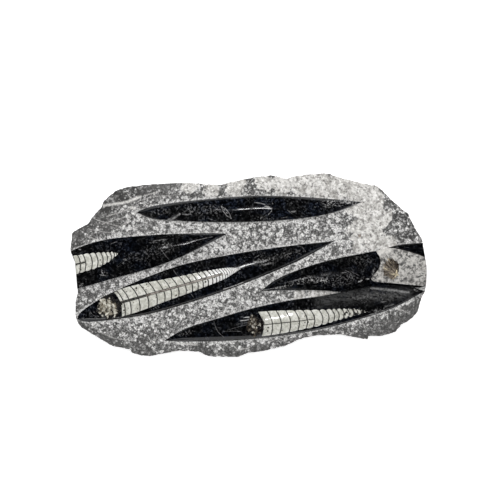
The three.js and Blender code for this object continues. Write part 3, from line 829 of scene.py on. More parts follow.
# Marks in the black stone, among them painted highlights: points of a line, half width, strength, raggedness
SHELL_AND_PAINTED_HIGHLIGHTS = {
    "fossil_top": [
        ([(-21.9, 48.9), (-20.4, 45), (-17.2, 40.8), (-13.8, 38.4)], 0.36, 0.55, 0.5),
        ([(-21.9, 48.9), (-18.2, 46.6), (-15, 42.6), (-13.6, 38.6)], 0.36, 0.6, 0.5),
        ([(-20, 46.6), (-19.2, 45.4)], 0.5, 0.5, 0.8),
        ([(-17.8, 43.8), (-16.8, 42.4)], 0.5, 0.6, 0.8),
        ([(-15.8, 41), (-15, 39.9)], 0.5, 0.6, 0.8),
        ([(6, 52), (11, 51.4), (15, 50.2)], 0.32, 0.6, 0.5),
        ([(14, 49), (19.5, 47.6)], 0.9, 0.7, 1.2),
        ([(19, 47.8), (20.3, 45), (17.5, 41.8)], 0.35, 0.55, 0.7),
        ([(20.5, 52), (21.4, 50.6)], 0.5, 0.4, 0.6),
        ([(33.5, 45.6), (37.5, 42.4)], 0.6, 0.35, 1.6),
        ([(36, 44.2), (41, 44.6)], 0.7, 0.4, 1.6),
        ([(27.5, 38.8), (34, 40)], 0.3, 0.35, 0.6),
        ([(-33, 38.8), (-26.5, 36.4)], 0.3, 0.3, 1.0),
        ([(-66.5, 37.6), (-61, 39.2), (-56.8, 42.4)], 1.0, 0.5, 1.2),
        ([(-54.5, 42.3), (-49.5, 41.6)], 0.6, 0.35, 1.2),
        # partly a shell trace, partly a painted crest highlight
        ([(-13, 45.6), (2, 46.6), (14, 47.6)], 0.25, 0.4, 0.4),
    ],
    "fossil_left": [
        # painted crest highlight near the tip
        ([(-51, 18.8), (-38, 21.5), (-29, 23.3)], 0.3, 0.3, 0.8),
        ([(-73, 13.6), (-69.5, 8.6), (-66, 4.4)], 0.25, 0.3, 0.4),
        ([(-114.5, 17.4), (-109, 19.4)], 0.45, 0.3, 0.8),
        ([(-80, 19.6), (-67, 21.4)], 0.6, 0.32, 1.2),
        ([(-48, 25.0), (-43, 25.6)], 0.3, 0.2, 0.6),
        ([(-122.5, -5.2), (-120, -9)], 0.45, 0.5, 1.4),
        ([(-124, -8.4), (-117.5, -9.6)], 0.45, 0.4, 1.4),
        ([(-142, 13), (-139, 12.4)], 0.4, 0.4, 1.0),
    ],
    "fossil_centre": [
        # painted crest highlight, partly shell remains
        ([(-5, -3.2), (2, -1.2), (10, 0.8)], 0.22, 0.12, 0.4),
        ([(-139, -45.4), (-124, -45.2), (-108, -44.4)], 0.3, 0.3, 0.6),
        ([(4, 2.2), (13, 2.8)], 0.8, 0.42, 1.8),
        ([(12.6, 6), (13.8, -0.6)], 0.4, 0.4, 1.0),
        ([(13, -0.6), (20, 1.6)], 0.7, 0.42, 1.8),
        ([(21.5, -1), (21.7, 6), (25, 8.6)], 0.35, 0.22, 1.0),
        ([(5.5, 5.4), (10, 8)], 0.35, 0.22, 0.8),
        ([(40.5, 16.4), (46, 14.6), (49, 10.6)], 0.3, 0.2, 0.6),
        ([(33, 8.6), (37, 9.4)], 0.6, 0.25, 1.2),
        ([(-62.5, -4), (-58.5, -9.5)], 0.22, 0.25, 0.4),
        ([(-48, -23.5), (-45, -27.5)], 0.22, 0.3, 0.4),
        # painted highlight on the lower bevel
        ([(-20, -20.6), (-12, -18.2), (-3.5, -14.8)], 0.5, 1.0, 0.8),
    ],
    "fossil_right": [
        ([(13, -21.4), (22, -20), (33, -17.8)], 0.3, 0.55, 0.8),
        ([(78, -7), (83.5, -6.4)], 0.5, 0.3, 0.8),
        ([(82, -4.8), (86.5, -7.2), (84.5, -11.6)], 0.35, 0.22, 0.9),
        ([(86, -5.5), (94, -9.4)], 0.3, 0.2, 0.6),
        ([(92.4, -14.8), (96.4, -13)], 0.8, 0.7, 1.0),
        ([(98.5, -12), (102, -12.2)], 0.7, 0.6, 0.8),
        ([(82, -17.2), (88, -14.6)], 0.3, 0.15, 0.8),
    ],
    "fossil_bottom": [
        ([(-28, -47.5), (-27, -51.5), (-24.6, -56.5), (-19, -61.6)], 0.32, 0.24, 0.6),
        ([(-20.5, -55.9), (-13, -55.6), (-5.5, -55.9)], 0.3, 0.2, 1.2),
        # painted crest highlight
        ([(-17, -54.8), (-4, -51), (8, -48.4)], 0.22, 0.25, 0.5),
        # painted highlight streaks, partly shell fragments, on this and the next two lines
        ([(-3.5, -44.4), (7.5, -43.2)], 0.55, 1.0, 0.6),
        ([(-7, -47), (4.5, -46)], 0.5, 0.9, 0.6),
        ([(0, -45.6), (9, -44.8)], 0.4, 0.8, 0.6),
        ([(104, -19.8), (118, -21), (135, -23.4)], 1.2, 0.38, 1.6),
        ([(111.5, -31.5), (116.5, -31)], 0.6, 0.3, 1.4),
        ([(114.5, -35.7), (124, -33.2)], 0.8, 0.25, 1.8),
        ([(101.5, -42), (110, -41.2)], 0.6, 0.5, 1.2),
        ([(104, -38.2), (108.5, -38.2)], 0.6, 0.3, 1.2),
        ([(139.5, -20.4), (143.5, -23)], 0.9, 0.35, 1.8),
    ],
    "fossil_edge": [],
}
PALE_TRACES = {
    "fossil_top": [
        ([(-78, 44), (-66, 46)], 4.0, 0.25, 4.0),
        ([(-50, 45), (-40, 46), (-27, 46)], 4.6, 0.32, 4.0),
        ([(66, 51), (80, 52), (90, 52.5)], 3.4, 1.0, 2.0),
        ([(6, 39), (20, 39)], 2.5, 0.35, 3.0),
    ],
    "fossil_left": [
        ([(-109.5, -3), (-97, 9)], 1.5, 0.42, 1.6),
        ([(-141, -16), (-137, -18)], 3.0, 0.5, 3.0),
        ([(-138, 17), (-124, 20)], 0.8, 0.4, 1.0),
        ([(-82, 18.6), (-67, 21)], 1.2, 0.35, 1.6),
        ([(-124, -6), (-117, -8)], 3.0, 0.6, 2.0),
        ([(-71, 16.6), (-64, 16)], 2.0, 0.55, 2.0),
        ([(-100, 6), (-60, 14)], 6.0, 0.16, 4.0),
    ],
    "fossil_centre": [
        ([(3, 1), (24, 4)], 3.6, 0.4, 4.0),
        ([(26, 6), (46, 11)], 4.0, 0.25, 4.0),
        ([(-82, -36.8), (-73.5, -35)], 1.6, 0.7, 2.0),
        ([(-133, -43), (-108, -44.5)], 1.4, 0.35, 2.0),
        ([(-139, -44), (-128, -40)], 3.0, 0.25, 3.0),
    ],
    "fossil_right": [
        ([(24, -20), (34, -17.8), (46, -13.4)], 1.6, 0.7, 2.0),
        ([(45, -13.5), (53, -12.2), (66, -13.8)], 2.6, 1.0, 2.4),
        ([(60, -15), (96, -10)], 5.0, 0.25, 4.0),
        ([(70, -17.6), (80, -16.6)], 1.8, 0.45, 2.0),
        ([(88, 5), (106, 3)], 5.0, 0.2, 4.0),
        ([(104, -9), (108, -2)], 1.6, 0.7, 2.0),
    ],
    "fossil_bottom": [
        ([(-58, -59), (-45, -56)], 2.4, 0.35, 3.0),
        ([(106, -40), (118, -36)], 2.8, 0.4, 3.0),
        ([(84, -28), (136, -25)], 4.0, 0.22, 4.0),
    ],
    "fossil_edge": [],
}
# painted sheen: grey painted into the black where the bottom fossil's polish shows a haze of reflected light
PAINTED_GREY_SHEEN = {"fossil_bottom": [([(62, -31), (92, -25.5), (134, -25)], 5.0, 1.0, 4.0)]}
DULL_POLISH = {"fossil_right": 0.06}           # added to the polish's roughness
STONE_TONES = {"fossil_top": 1.7, "fossil_left": 1.05, "fossil_centre": 1.2, "fossil_right": 0.72,
               "fossil_bottom": 0.95, "fossil_edge": 0.4}

# The fossils that the slab's edge cuts: the cut's finish, and the shell in it: middle y and z, then radii
SAWN_ENDS = {
    "fossil_left": ("sawn_shell_section", ((-0.6, 29.5), (7.9, 8.5))),
    "fossil_edge": ("sawn_black_limestone", None),
}
SAWN_END_X = 135.0         # a cut end lies further out than this, and faces along X
SAWN_FACING = 0.8


def finish_sawn_end(piece, finish):
    """Gives the face left by the slab's edge a finish of its own."""
    piece.data.materials.append(finish)
    for face in piece.data.polygons:
        if abs(face.normal.x) > SAWN_FACING and abs(face.center.x) > SAWN_END_X * MM:
            face.material_index = 1
            face.use_smooth = False


def ray_surface(points, faces):
    return BVHTree.FromPolygons([Vector(point) for point in points], faces)


def make_fossils(envelope):
    """Every black body, and the calcite end that is cut from the right one; gives back their surfaces."""
    surfaces = {}
    for name, shape in FOSSILS.items():
        points, faces, flank = fossil_surface(name, shape)
        surfaces[name] = ray_surface(points, faces)
        piece = new_piece(name.replace("fossil", "black_body"), points, faces, [polished_black(name)],
                          nodes=[name])
        add_attribute(piece, "flank", flank)
        if name == "fossil_right":
            surfaces["calcite_end_right"] = make_calcite_end(piece, envelope, points, faces)
        elif name in SAWN_ENDS:
            cut(piece, envelope, "INTERSECT")
            finish_sawn_end(piece, sawn_black(*SAWN_ENDS[name]))
    return surfaces


def make_calcite_end(black_right, envelope, points, faces):
    """Splits the right fossil at its break: black up to it, pale lumpy calcite beyond."""
    beyond = calcite_side()
    bulge = 0.5 * smoothstep(points[:, 0], 108, 116) * np.clip((points[:, 2] - GROUND) / 5, 0, 1)
    lumps = 0.35 * rough(points, 5.0, 4, seed=9) * smoothstep(points[:, 0], 108, 112)
    moved = points.copy()
    moved[:, 2] += bulge + lumps
    end = new_piece("calcite_end", moved, faces, [pale_calcite()],
                    nodes=["calcite_end_right"])
    cut(end, beyond, "INTERSECT")
    cut(end, envelope, "INTERSECT")
    cut(black_right, beyond, "DIFFERENCE")
    discard(beyond)
    return ray_surface(moved, faces)


ABOVE_ALL = 60.0


def height_on(surface, x, y):
    hit = surface.ray_cast(Vector((x, y, ABOVE_ALL)), Vector((0, 0, -1)))
    return hit[0].z if hit[0] is not None else GROUND


# ---------------------------------------------------------------------------------------------------------
# Chambered shells
# ---------------------------------------------------------------------------------------------------------

CHAMBER_ROWS = 11          # mesh rows on each side of the siphuncle
CHAMBER_RISE = 0.10        # height of the shell over the black stone around it
SEPTUM_RISE = 0.05         # and of its walls
INLAY_THICKNESS = 1.6
OUTLINE_POINTS = 300       # points along each edge of a shell


def shell_columns(shape):
    """Where each strip of the mesh starts along a shell, whether it is a septum, and how high it swells."""
    start, apex = shape["upper"][0][0], shape["upper"][-1][0] - 0.4
    walls = [start, *shape["septa"]]
    columns = []
    for here, after in zip(walls, walls[1:] + [apex]):
        gap = np.interp(here, (start, apex), shape["gaps"])
        thick = 0.0 if here == start else min(SEPTUM_WIDTH, gap * (after - here))
        if thick:
            columns.append((here, True, 0.0))
        room = after - here - thick
        columns += [(here + thick + room * k / 3, False, swell) for k, swell in enumerate((0.0, 1.0, 1.0))]
    columns.append((apex, False, 0.0))
    return columns


def shell_rows(shape, half):
    """Signed shares across a shell, -1 at its lower edge: both flanks, with the siphuncle between them."""
    middle, thickness = shape["siphuncle"][:2]
    reach = min(thickness / half, 0.16)
    wall = 0.55 * reach
    low = np.linspace(-1, middle - reach - wall, CHAMBER_ROWS)
    high = np.linspace(middle + reach + wall, 1, CHAMBER_ROWS)
    return np.concatenate([low, [middle - reach, middle + reach], high])


def band_material(shape, column, band):
    """0 for white shell, 1 for a dark wall, 2 for the siphuncle's fill."""
    x, is_septum, _ = column
    dark_up_to, seen_up_to = shape["siphuncle"][2:]
    if CHAMBER_ROWS - 1 <= band <= CHAMBER_ROWS + 1 and x < seen_up_to:
        if band == CHAMBER_ROWS and x > dark_up_to:
            return 2
        return 1
    return 1 if is_septum else 0


def make_chambers(name, shape, surface, materials):
    """A white shell set flush in its fossil: chambers between thin septa, with the siphuncle along it."""
    upper = smooth_curve(shape["upper"], OUTLINE_POINTS)
    lower = smooth_curve(shape["lower"], OUTLINE_POINTS)
    lean, belly = shape["bow"]
    apex = shape["upper"][-1][0] - 0.1
    columns = shell_columns(shape)
    widest = np.max(upper[:, 1] - np.interp(upper[:, 0], *lower.T)) / 2
    top = []
    for x, _, swell in columns:
        half = max((np.interp(x, *upper.T) - np.interp(x, *lower.T)) / 2, 0.12)
        for v in shell_rows(shape, half):
            shift = half * (lean * (1 - v) + belly * (1 - v * v))
            wander = 0.22 * noise.noise(Vector((x * 0.31, v * 2.1, 4.0)))
            at = min(x + shift + wander, apex)
            across = v * (1 - shape["scallop"] * (1 - half / widest) * (1 - swell))
            y = np.interp(at, *lower.T) * (1 - across) / 2 + np.interp(at, *upper.T) * (1 + across) / 2
            rise = CHAMBER_RISE if swell and abs(v) < 0.999 else SEPTUM_RISE
            top.append((at, y, height_on(surface, at, y) + rise))
    top = np.array(top)
    rows = 2 * CHAMBER_ROWS + 2
    bands = [(k, band) for k in range(len(columns) - 1) for band in range(rows - 1)]
    faces = [face[::-1] for face in grid_faces(len(columns), rows)]
    finishes = [band_material(shape, columns[k], band) for k, band in bands]
    base = top - np.array((0, 0, INLAY_THICKNESS))
    count = len(top)
    under = [tuple(i + count for i in face[::-1]) for face in faces]
    rim = ([k * rows for k in range(len(columns))]
           + [(len(columns) - 1) * rows + j for j in range(1, rows)]
           + [k * rows + rows - 1 for k in range(len(columns) - 2, -1, -1)]
           + list(range(rows - 2, 0, -1)))
    walls = [(a, a + count, b + count, b) for a, b in zip(rim, rim[1:] + rim[:1])]
    points = np.vstack([top, base])
    piece = new_piece(name.replace("chambers", "chambered_shell"), points, faces + under + walls, materials,
                      finishes + [0] * (len(under) + len(walls)), nodes=[name])
    piece.data.polygons.foreach_set("use_smooth", [k < len(faces) for k in range(len(piece.data.polygons))])
    start, reach = shape["decay"]
    add_attribute(piece, "decay", smoothstep(points[:, 0], start, start + reach))
    # painted highlight: the stretch of the shell that is painted whiter
    painted_highlight = smoothstep(points[:, 0], *shape["painted_highlight"]) if "painted_highlight" in shape else np.zeros(len(points))
    add_attribute(piece, "painted_highlight", painted_highlight)
    return piece


# ---------------------------------------------------------------------------------------------------------
# Crystal clusters
# ---------------------------------------------------------------------------------------------------------

RHOMB = [(x, y, z) for z in (-1, 1) for y in (-1, 1) for x in (-1, 1)]
RHOMB_FACES = [(0, 2, 3, 1), (4, 5, 7, 6), (0, 1, 5, 4), (2, 6, 7, 3), (0, 4, 6, 2), (1, 3, 7, 5)]


def turned(points, tilt, spin):
    """Tilts points about Y and spins them about Z."""
    x = points[:, 0] * math.cos(tilt) + points[:, 2] * math.sin(tilt)
    z = points[:, 2] * math.cos(tilt) - points[:, 0] * math.sin(tilt)
    y = points[:, 1]
    return np.column_stack([x * math.cos(spin) - y * math.sin(spin),
                            x * math.sin(spin) + y * math.cos(spin), z])


def cluster_reach(angle, seed):
    """How far a cluster reaches in one direction, as a share of its radius."""
    around = Vector((math.cos(angle), math.sin(angle), 0.0))
    lift = Vector((0.0, 0.0, seed))
    return 1.0 + 0.30 * noise.noise(around * 1.5 + lift) + 0.14 * noise.noise(around * 4.5 + lift)


def crystal_seat(middle, radii, surface, seed):
    """A closed lumpy disc, on which the crystals grow."""
    rings, spokes = 9, 44
    base_depth = 2.0
    points = []
    for k in range(1, rings + 1):
        for j in range(spokes):
            angle = 2 * math.pi * j / spokes
            edge = cluster_reach(angle, seed)
            x = middle[0] + radii[0] * edge * math.cos(angle) * k / rings
            y = middle[1] + radii[1] * edge * math.sin(angle) * k / rings
            lump = 0.14 * noise.noise(Vector((x * 0.6, y * 0.6, seed)))
            points.append((x, y, height_on(surface, x, y) + 0.14 + lump * (k < rings)))
    count = len(points)
    outer = points[-spokes:]
    points += [(x, y, z - base_depth) for x, y, z in outer]
    points += [(*middle, height_on(surface, *middle) + 0.2), (*middle, outer[0][2] - base_depth)]
    faces = [face[::-1] for face in grid_faces(rings + 1, spokes, closed=True)]
    top, bottom = len(points) - 2, len(points) - 1
    faces += [(top, j, (j + 1) % spokes) for j in range(spokes)]
    faces += [(bottom, count + (j + 1) % spokes, count + j) for j in range(spokes)]
    return points, faces


PAINTED_GLINT = (0.62, -0.5, 0.22)  # a painted glint, a golden spot in the fan: across, up, radius


def cream_tint(draw, clump, across, up, share):
    """A cream middle with brown grains, and black blotches that crowd towards the shell."""
    black_from = 0.92 - 0.5 * max(0.0, 0.8 * across + 0.6 * up - 0.15) + 0.45 * clump
    if share > black_from:
        return draw.uniform(0.0, 0.12)
    return 0.58 + 1.3 * clump + draw.uniform(-0.2, 0.25)


def cross_tint(draw, clump, across, up, share):
    """Dark brown grains with a ragged cream cross."""
    bend = 0.3 * clump
    upright = abs(across + 0.12 + bend) < 0.13 and abs(up) < 0.8
    bar = abs(up - 0.14 + bend) < 0.12 and abs(across) < 0.7
    if upright or bar:
        return 0.66 + 1.2 * clump + draw.uniform(-0.2, 0.2)
    return 0.10 + 0.8 * clump + draw.choice((-0.15, 0.0, 0.25)) - 0.4 * (across > 0.3)


def blade_tint(draw, clump, across, up, share):
    """Brown blades that pale towards the cluster's edge."""
    # painted glint: the lightest tone where a crystal face would flash
    if math.hypot(across - PAINTED_GLINT[0], up - PAINTED_GLINT[1]) < PAINTED_GLINT[2]:
        return 1.0
    shade = 0.3 * max(0.0, across + up)
    return 0.30 + 0.8 * clump - shade + 0.05 * share + draw.uniform(-0.28, 0.2)


def make_crystals(name, shape, surface, finish, count, tint_of, fan=None):
    """A cluster of small joined crystals with a tint each; a fan is the point that blades radiate from."""
    draw = random.Random(len(name) + count)
    middle, radii = shape["middle"], shape["radii"]
    seed = float(len(name))
    points, faces = crystal_seat(middle, radii, surface, seed)

    def tint_at(x, y):
        across, up = (x - middle[0]) / radii[0], (y - middle[1]) / radii[1]
        clump = noise.noise(Vector((x / 2.2, y / 2.2, seed)))
        return min(1.0, max(0.0, tint_of(draw, clump, across, up, math.hypot(across, up))))

    tints = [0.7 * tint_at(x, y) for x, y, _ in points]
    for _ in range(count):
        angle = draw.uniform(0, 2 * math.pi)
        share = math.sqrt(draw.random()) * cluster_reach(angle, seed) * 0.97
        x = middle[0] + radii[0] * share * math.cos(angle)
        y = middle[1] + radii[1] * share * math.sin(angle)
        body = np.array(RHOMB, float)
        body[:, 0] += 0.35 * body[:, 1]
        if fan:
            body *= (draw.uniform(1.1, 2.6), draw.uniform(0.16, 0.3), draw.uniform(0.2, 0.45))
            spin = math.atan2(y - fan[1], x - fan[0]) + draw.uniform(-0.2, 0.2)
            body = turned(body, draw.uniform(-0.35, 0.35), spin)
        else:
            body *= draw.uniform(0.35, 1.0)
            body = turned(body, draw.uniform(0, 1.2), draw.uniform(0, 2 * math.pi))
        sink = 0.45 * body[:, 2].max()
        body += (x, y, height_on(surface, x, y) + 0.16 - sink)
        start = len(points)
        points += [tuple(p) for p in body]
        faces += [tuple(start + i for i in face) for face in RHOMB_FACES]
        tints += [tint_at(x, y)] * len(body)
    piece = new_piece(name.replace("crystals", "crystal_fill"), points, faces, [finish],
                      nodes=[name], smooth=False)
    add_attribute(piece, "tint", tints)


# ---------------------------------------------------------------------------------------------------------
# The limestone slab
# ---------------------------------------------------------------------------------------------------------

CORNERS = [(-141, -50), (139, -45), (119, 57), (-130, 40)]
CELLS_ALONG = 352
CELLS_ACROSS = 176
SIDE_ROWS = 17             # mesh rows down the sides
SAWN_LEFT_X = -142.0       # the side beyond this is sawn and not broken
PECK_COUNT = 4200
PECK_REACH = 2.6           # longest peck, from its middle
RIM_DROP = 2.6             # how far the top eases down at the rim
CELL_MARGIN = 0.9          # the bed of a fossil starts this far inside its outline
EASING_REACH = 12          # rim points on each side over which a corner is eased

# Knobs of the broken rim: middle x, y, radius and how far they stand out
KNOBS = [
    (-145, 28, 8, 1.3), (-136.5, 33, 5, -1.8), (142, 14.5, 6, 1.5), (118, -50, 12, 2.4), (134, -46, 8, 1.2),
]

# Patches of pale calcite in the limestone, of grey stone in that, of darker stone, and stretches of the rim
# that are worn smooth: middle x, y and radius
PALE_PATCHES = [
    (-50, 67, 7), (-30, 64, 7), (-10, 66, 9), (14, 69, 8), (30, 68, 9), (45, 68, 10), (60, 68, 12),
    (75, 66, 12), (88, 64, 12), (100, 58, 12), (95, 48, 12), (105, 45, 12), (112, 38, 12), (100, 35, 12),
    (95, 27, 10), (108, 25, 10), (118, 18, 8), (98, 22, 8), (44, -24.5, 6.5), (56, -24.5, 7.5),
    (68, -24.5, 7), (93, 15.5, 6), (104, 16.5, 5),
]
GREY_PATCHES = [(5, 63, 5), (139, 34, 8), (134, 22, 6), (128, 44, 6), (120, 31, 4), (142, 26, 6)]
DARK_PATCHES = [
    (130, 42, 7), (138, 32, 7), (136, 22, 5), (124, 30, 4), (-104, 60, 7), (-92, 64, 7), (-120, 48, 6),
]
WORN_STRETCHES = [
    (-146, -10, 9), (-144, 22, 9), (-138, 36, 12), (-126, 46, 15), (-112, 38, 9), (-118, 31, 8),
    (-104, 30, 5), (-110, 60, 14), (-90, 66, 13), (-70, 70, 10), (-139, -58, 11), (-128, -66, 12),
    (-110, -72, 12), (-90, -76, 10), (-40, -74, 9), (-15, -76, 8), (10, -72, 8), (60, -60, 6),
]


def patch_mask(points, patches, seed, soft=0.35):
    """1 inside any of the round patches, with a wandering edge; they lean and fade down the sides."""
    sunk = np.clip(GROUND - SKIN - points[:, 2], 0, None)
    plan = points[:, :2] - sunk[:, None] * VEIN_LEAN[:2]
    wander = 0.45 * rough(np.column_stack([plan, -sunk]), 9.0, 4, seed=seed)
    best = np.zeros(len(points))
    for x, y, radius in patches:
        gap = np.hypot(plan[:, 0] - x, plan[:, 1] - y) / radius + wander
        best = np.maximum(best, 1 - smoothstep(gap, 1 - soft, 1 + soft))
    return best * (1 - smoothstep(sunk * (1 + 1.3 * wander), 0, 20))


def rim_curves(ring):
    """The slab's widest outline as four sides between its corners, broken stone being uneven."""
    closed = np.vstack([ring, ring[:1]])
    fine = resample(closed, 4001)[:-1]
    flat = np.column_stack([fine, np.zeros(len(fine))])
    sawn = 1 - 0.8 * smoothstep(-fine[:, 0], -SAWN_LEFT_X - 6, -SAWN_LEFT_X)
    push = sawn * (0.55 * rough(flat, 4.5, 3, seed=2) + 0.25 * rough(flat, 1.5, 2, seed=3))
    for x, y, radius, bulge in KNOBS:
        push += bulge * (1 - smoothstep(np.hypot(fine[:, 0] - x, fine[:, 1] - y), 0, radius))
    fine = stand_in(fine, -push)
    starts = [int(np.argmin(np.hypot(*(fine - corner).T))) for corner in CORNERS]
    sides = []
    for start, end in zip(starts, starts[1:] + starts[:1]):
        run = np.arange(start, end if end > start else end + len(fine)) % len(fine)
        run = np.append(run, end)
        sides.append(fine[run])
    counts = (CELLS_ALONG, CELLS_ACROSS, CELLS_ALONG, CELLS_ACROSS)
    return [resample(side, count + 1) for side, count in zip(sides, counts)]


def plan_grid(sides):
    """Plan positions of the top surface, spread evenly between the four sides (a Coons patch)."""
    lower, right, upper, left = sides[0], sides[1], sides[2][::-1], sides[3][::-1]
    u = np.linspace(0, 1, CELLS_ALONG + 1)[None, :, None]
    v = np.linspace(0, 1, CELLS_ACROSS + 1)[:, None, None]
    between_rows = (1 - v) * lower[None] + v * upper[None]
    between_columns = (1 - u) * left[:, None] + u * right[:, None]
    corners = ((1 - u) * (1 - v) * lower[0] + u * (1 - v) * lower[-1]
               + (1 - u) * v * upper[0] + u * v * upper[-1])
    return between_rows + between_columns - corners


def fossil_field(points):
    """Distance to the nearest fossil in plan, negative inside it, and that fossil's half-width there."""
    outlines = []
    for shape in FOSSILS.values():
        middle, across, half = fossil_stations(shape)
        outlines.append((np.vstack([middle + across, (middle - across)[::-1]]),
                         np.concatenate([half, half[::-1]])))
    total = sum(len(outline) for outline, _ in outlines)
    tree = KDTree(total * 3)
    halves = []
    for outline, half in outlines:
        closed = np.vstack([np.column_stack([outline, half]), [*outline[0], half[0]]])
        fine = resample(closed, 3 * len(outline))
        for x, y, w in fine:
            tree.insert((x, y, 0), len(halves))
            halves.append(w)
    tree.balance()
    found = [tree.find((x, y, 0)) for x, y in points]
    distance = np.array([gap for _, _, gap in found])
    half_there = np.array([halves[index] for _, index, _ in found])
    inside = np.zeros(len(points), bool)
    for outline, _ in outlines:
        low, high = outline.min(axis=0), outline.max(axis=0)
        near = np.flatnonzero(np.all((points > low) & (points < high), axis=1))
        x, y = points[near].T
        crossings = np.zeros(len(near), int)
        for (x0, y0), (x1, y1) in zip(outline, np.roll(outline, -1, axis=0)):
            if y0 == y1:
                continue
            spans = (y0 > y) != (y1 > y)
            crossings += spans & (x < x0 + (y - y0) * (x1 - x0) / (y1 - y0))
        inside[near[crossings % 2 == 1]] = True
    return np.where(inside, -distance, distance), half_there


def ground_height(x, y):
    """The chiselled ground, which falls away where the lower right side is broken."""
    fall = smoothstep(0.5 * x - y, 92, 125) * smoothstep(x, 60, 100)
    return GROUND - BROKEN_DROP * fall, fall


def peck_depths(points):
    """Depth of the struck pecks: short gouges in all directions."""
    tree = KDTree(PECK_COUNT)
    draw = random.Random(4)
    low, high = points.min(axis=0), points.max(axis=0)
    gouges = []
    for k in range(PECK_COUNT):
        x, y = draw.uniform(low[0], high[0]), draw.uniform(low[1], high[1])
        angle = draw.gauss(2.2, 0.7)
        long, wide = draw.uniform(0.9, 2.4), draw.uniform(0.5, 1.1)
        gouges.append((x, y, math.cos(angle), math.sin(angle), long, wide))
        tree.insert((x, y, 0), k)
    tree.balance()
    depth = np.zeros(len(points))
    for i, (x, y) in enumerate(points):
        for _, k, _ in tree.find_range((x, y, 0), PECK_REACH):
            gx, gy, cos, sin, long, wide = gouges[k]
            along = ((x - gx) * cos + (y - gy) * sin) / long
            beside = ((y - gy) * cos - (x - gx) * sin) / wide
            gap = along * along + beside * beside
            if gap < 1:
                depth[i] = max(depth[i], (1 - gap) * wide)
    return depth


def eased_rim(rim_plan):
    """The rim with its sharp corners taken off, never further out than the rim itself."""
    total = sum(np.roll(rim_plan, k, axis=0) for k in range(-EASING_REACH, EASING_REACH + 1))
    mean = total / (2 * EASING_REACH + 1)
    reach, mean_reach = np.linalg.norm(rim_plan, axis=1), np.linalg.norm(mean, axis=1)
    return rim_plan * (np.minimum(reach, mean_reach) / reach)[:, None]


def rim_distances(plan, rim_plan):
    tree = KDTree(len(rim_plan))
    for k, (x, y) in enumerate(rim_plan):
        tree.insert((x, y, 0), k)
    tree.balance()
    return np.array([tree.find((x, y, 0))[2] for x, y in plan])


def carved_heights(flat, level, quiet, depth, to_rim, distance, half):
    """The top surface: chiselled ground that eases down at the rim, with a bed under each fossil."""
    height = level + 0.55 * rough(flat, 22.0, 2, seed=1) + 0.5 * rough(flat, 5.0, 3, seed=4)
    height += quiet * 0.7 * rough(flat, 3.2, 3, seed=8)
    height -= 0.55 * depth * (1 - 0.75 * quiet)
    height -= RIM_DROP * (1 - smoothstep(to_rim, 0, 8)) ** 2
    height -= 0.5 * (1 - smoothstep(distance, 0.5, 3.0)) * (distance > 0)
    bed = np.minimum(GROUND - 0.1, height - 0.15)
    inward = np.clip((-distance - CELL_MARGIN) / np.maximum(half, 0.5), 0, 1)
    bowl = 2 * half * FOSSIL_DEPTH * np.sqrt(1 - (1 - inward) ** 2) + 0.25
    return np.where(distance < 0, bed - np.where(distance < -CELL_MARGIN, bowl, 0), height)


def side_rings(rim_plan, rim_height):
    """Rings of points down the sides, faceted where the stone is broken, to the flat underside."""
    outward = rim_plan / np.linalg.norm(rim_plan, axis=1)[:, None]
    sawn = 1 - 0.85 * smoothstep(-rim_plan[:, 0], -SAWN_LEFT_X - 6, -SAWN_LEFT_X)
    eased = eased_rim(rim_plan)
    rings = []
    for k in range(1, SIDE_ROWS + 1):
        share = k / SIDE_ROWS
        z = rim_height * (1 - share)
        softened = rim_plan + (eased - rim_plan) * smoothstep(share, 0.1, 0.6)
        spot = np.column_stack([stand_in(softened, inset_at(z)), z])
        if k < SIDE_ROWS:
            lump = 0.4 * rough(spot, 9.0, 3, seed=12) + 0.32 * rough(spot, 2.8, 3, seed=13)
            lump -= 1.76 * facets(spot, 11.0, 14) + 0.72 * facets(spot, 5.0, 15)
            spot[:, :2] += outward * (lump * sawn * math.sin(math.pi * share) ** 0.5)[:, None]
        rings.append(spot)
    return rings


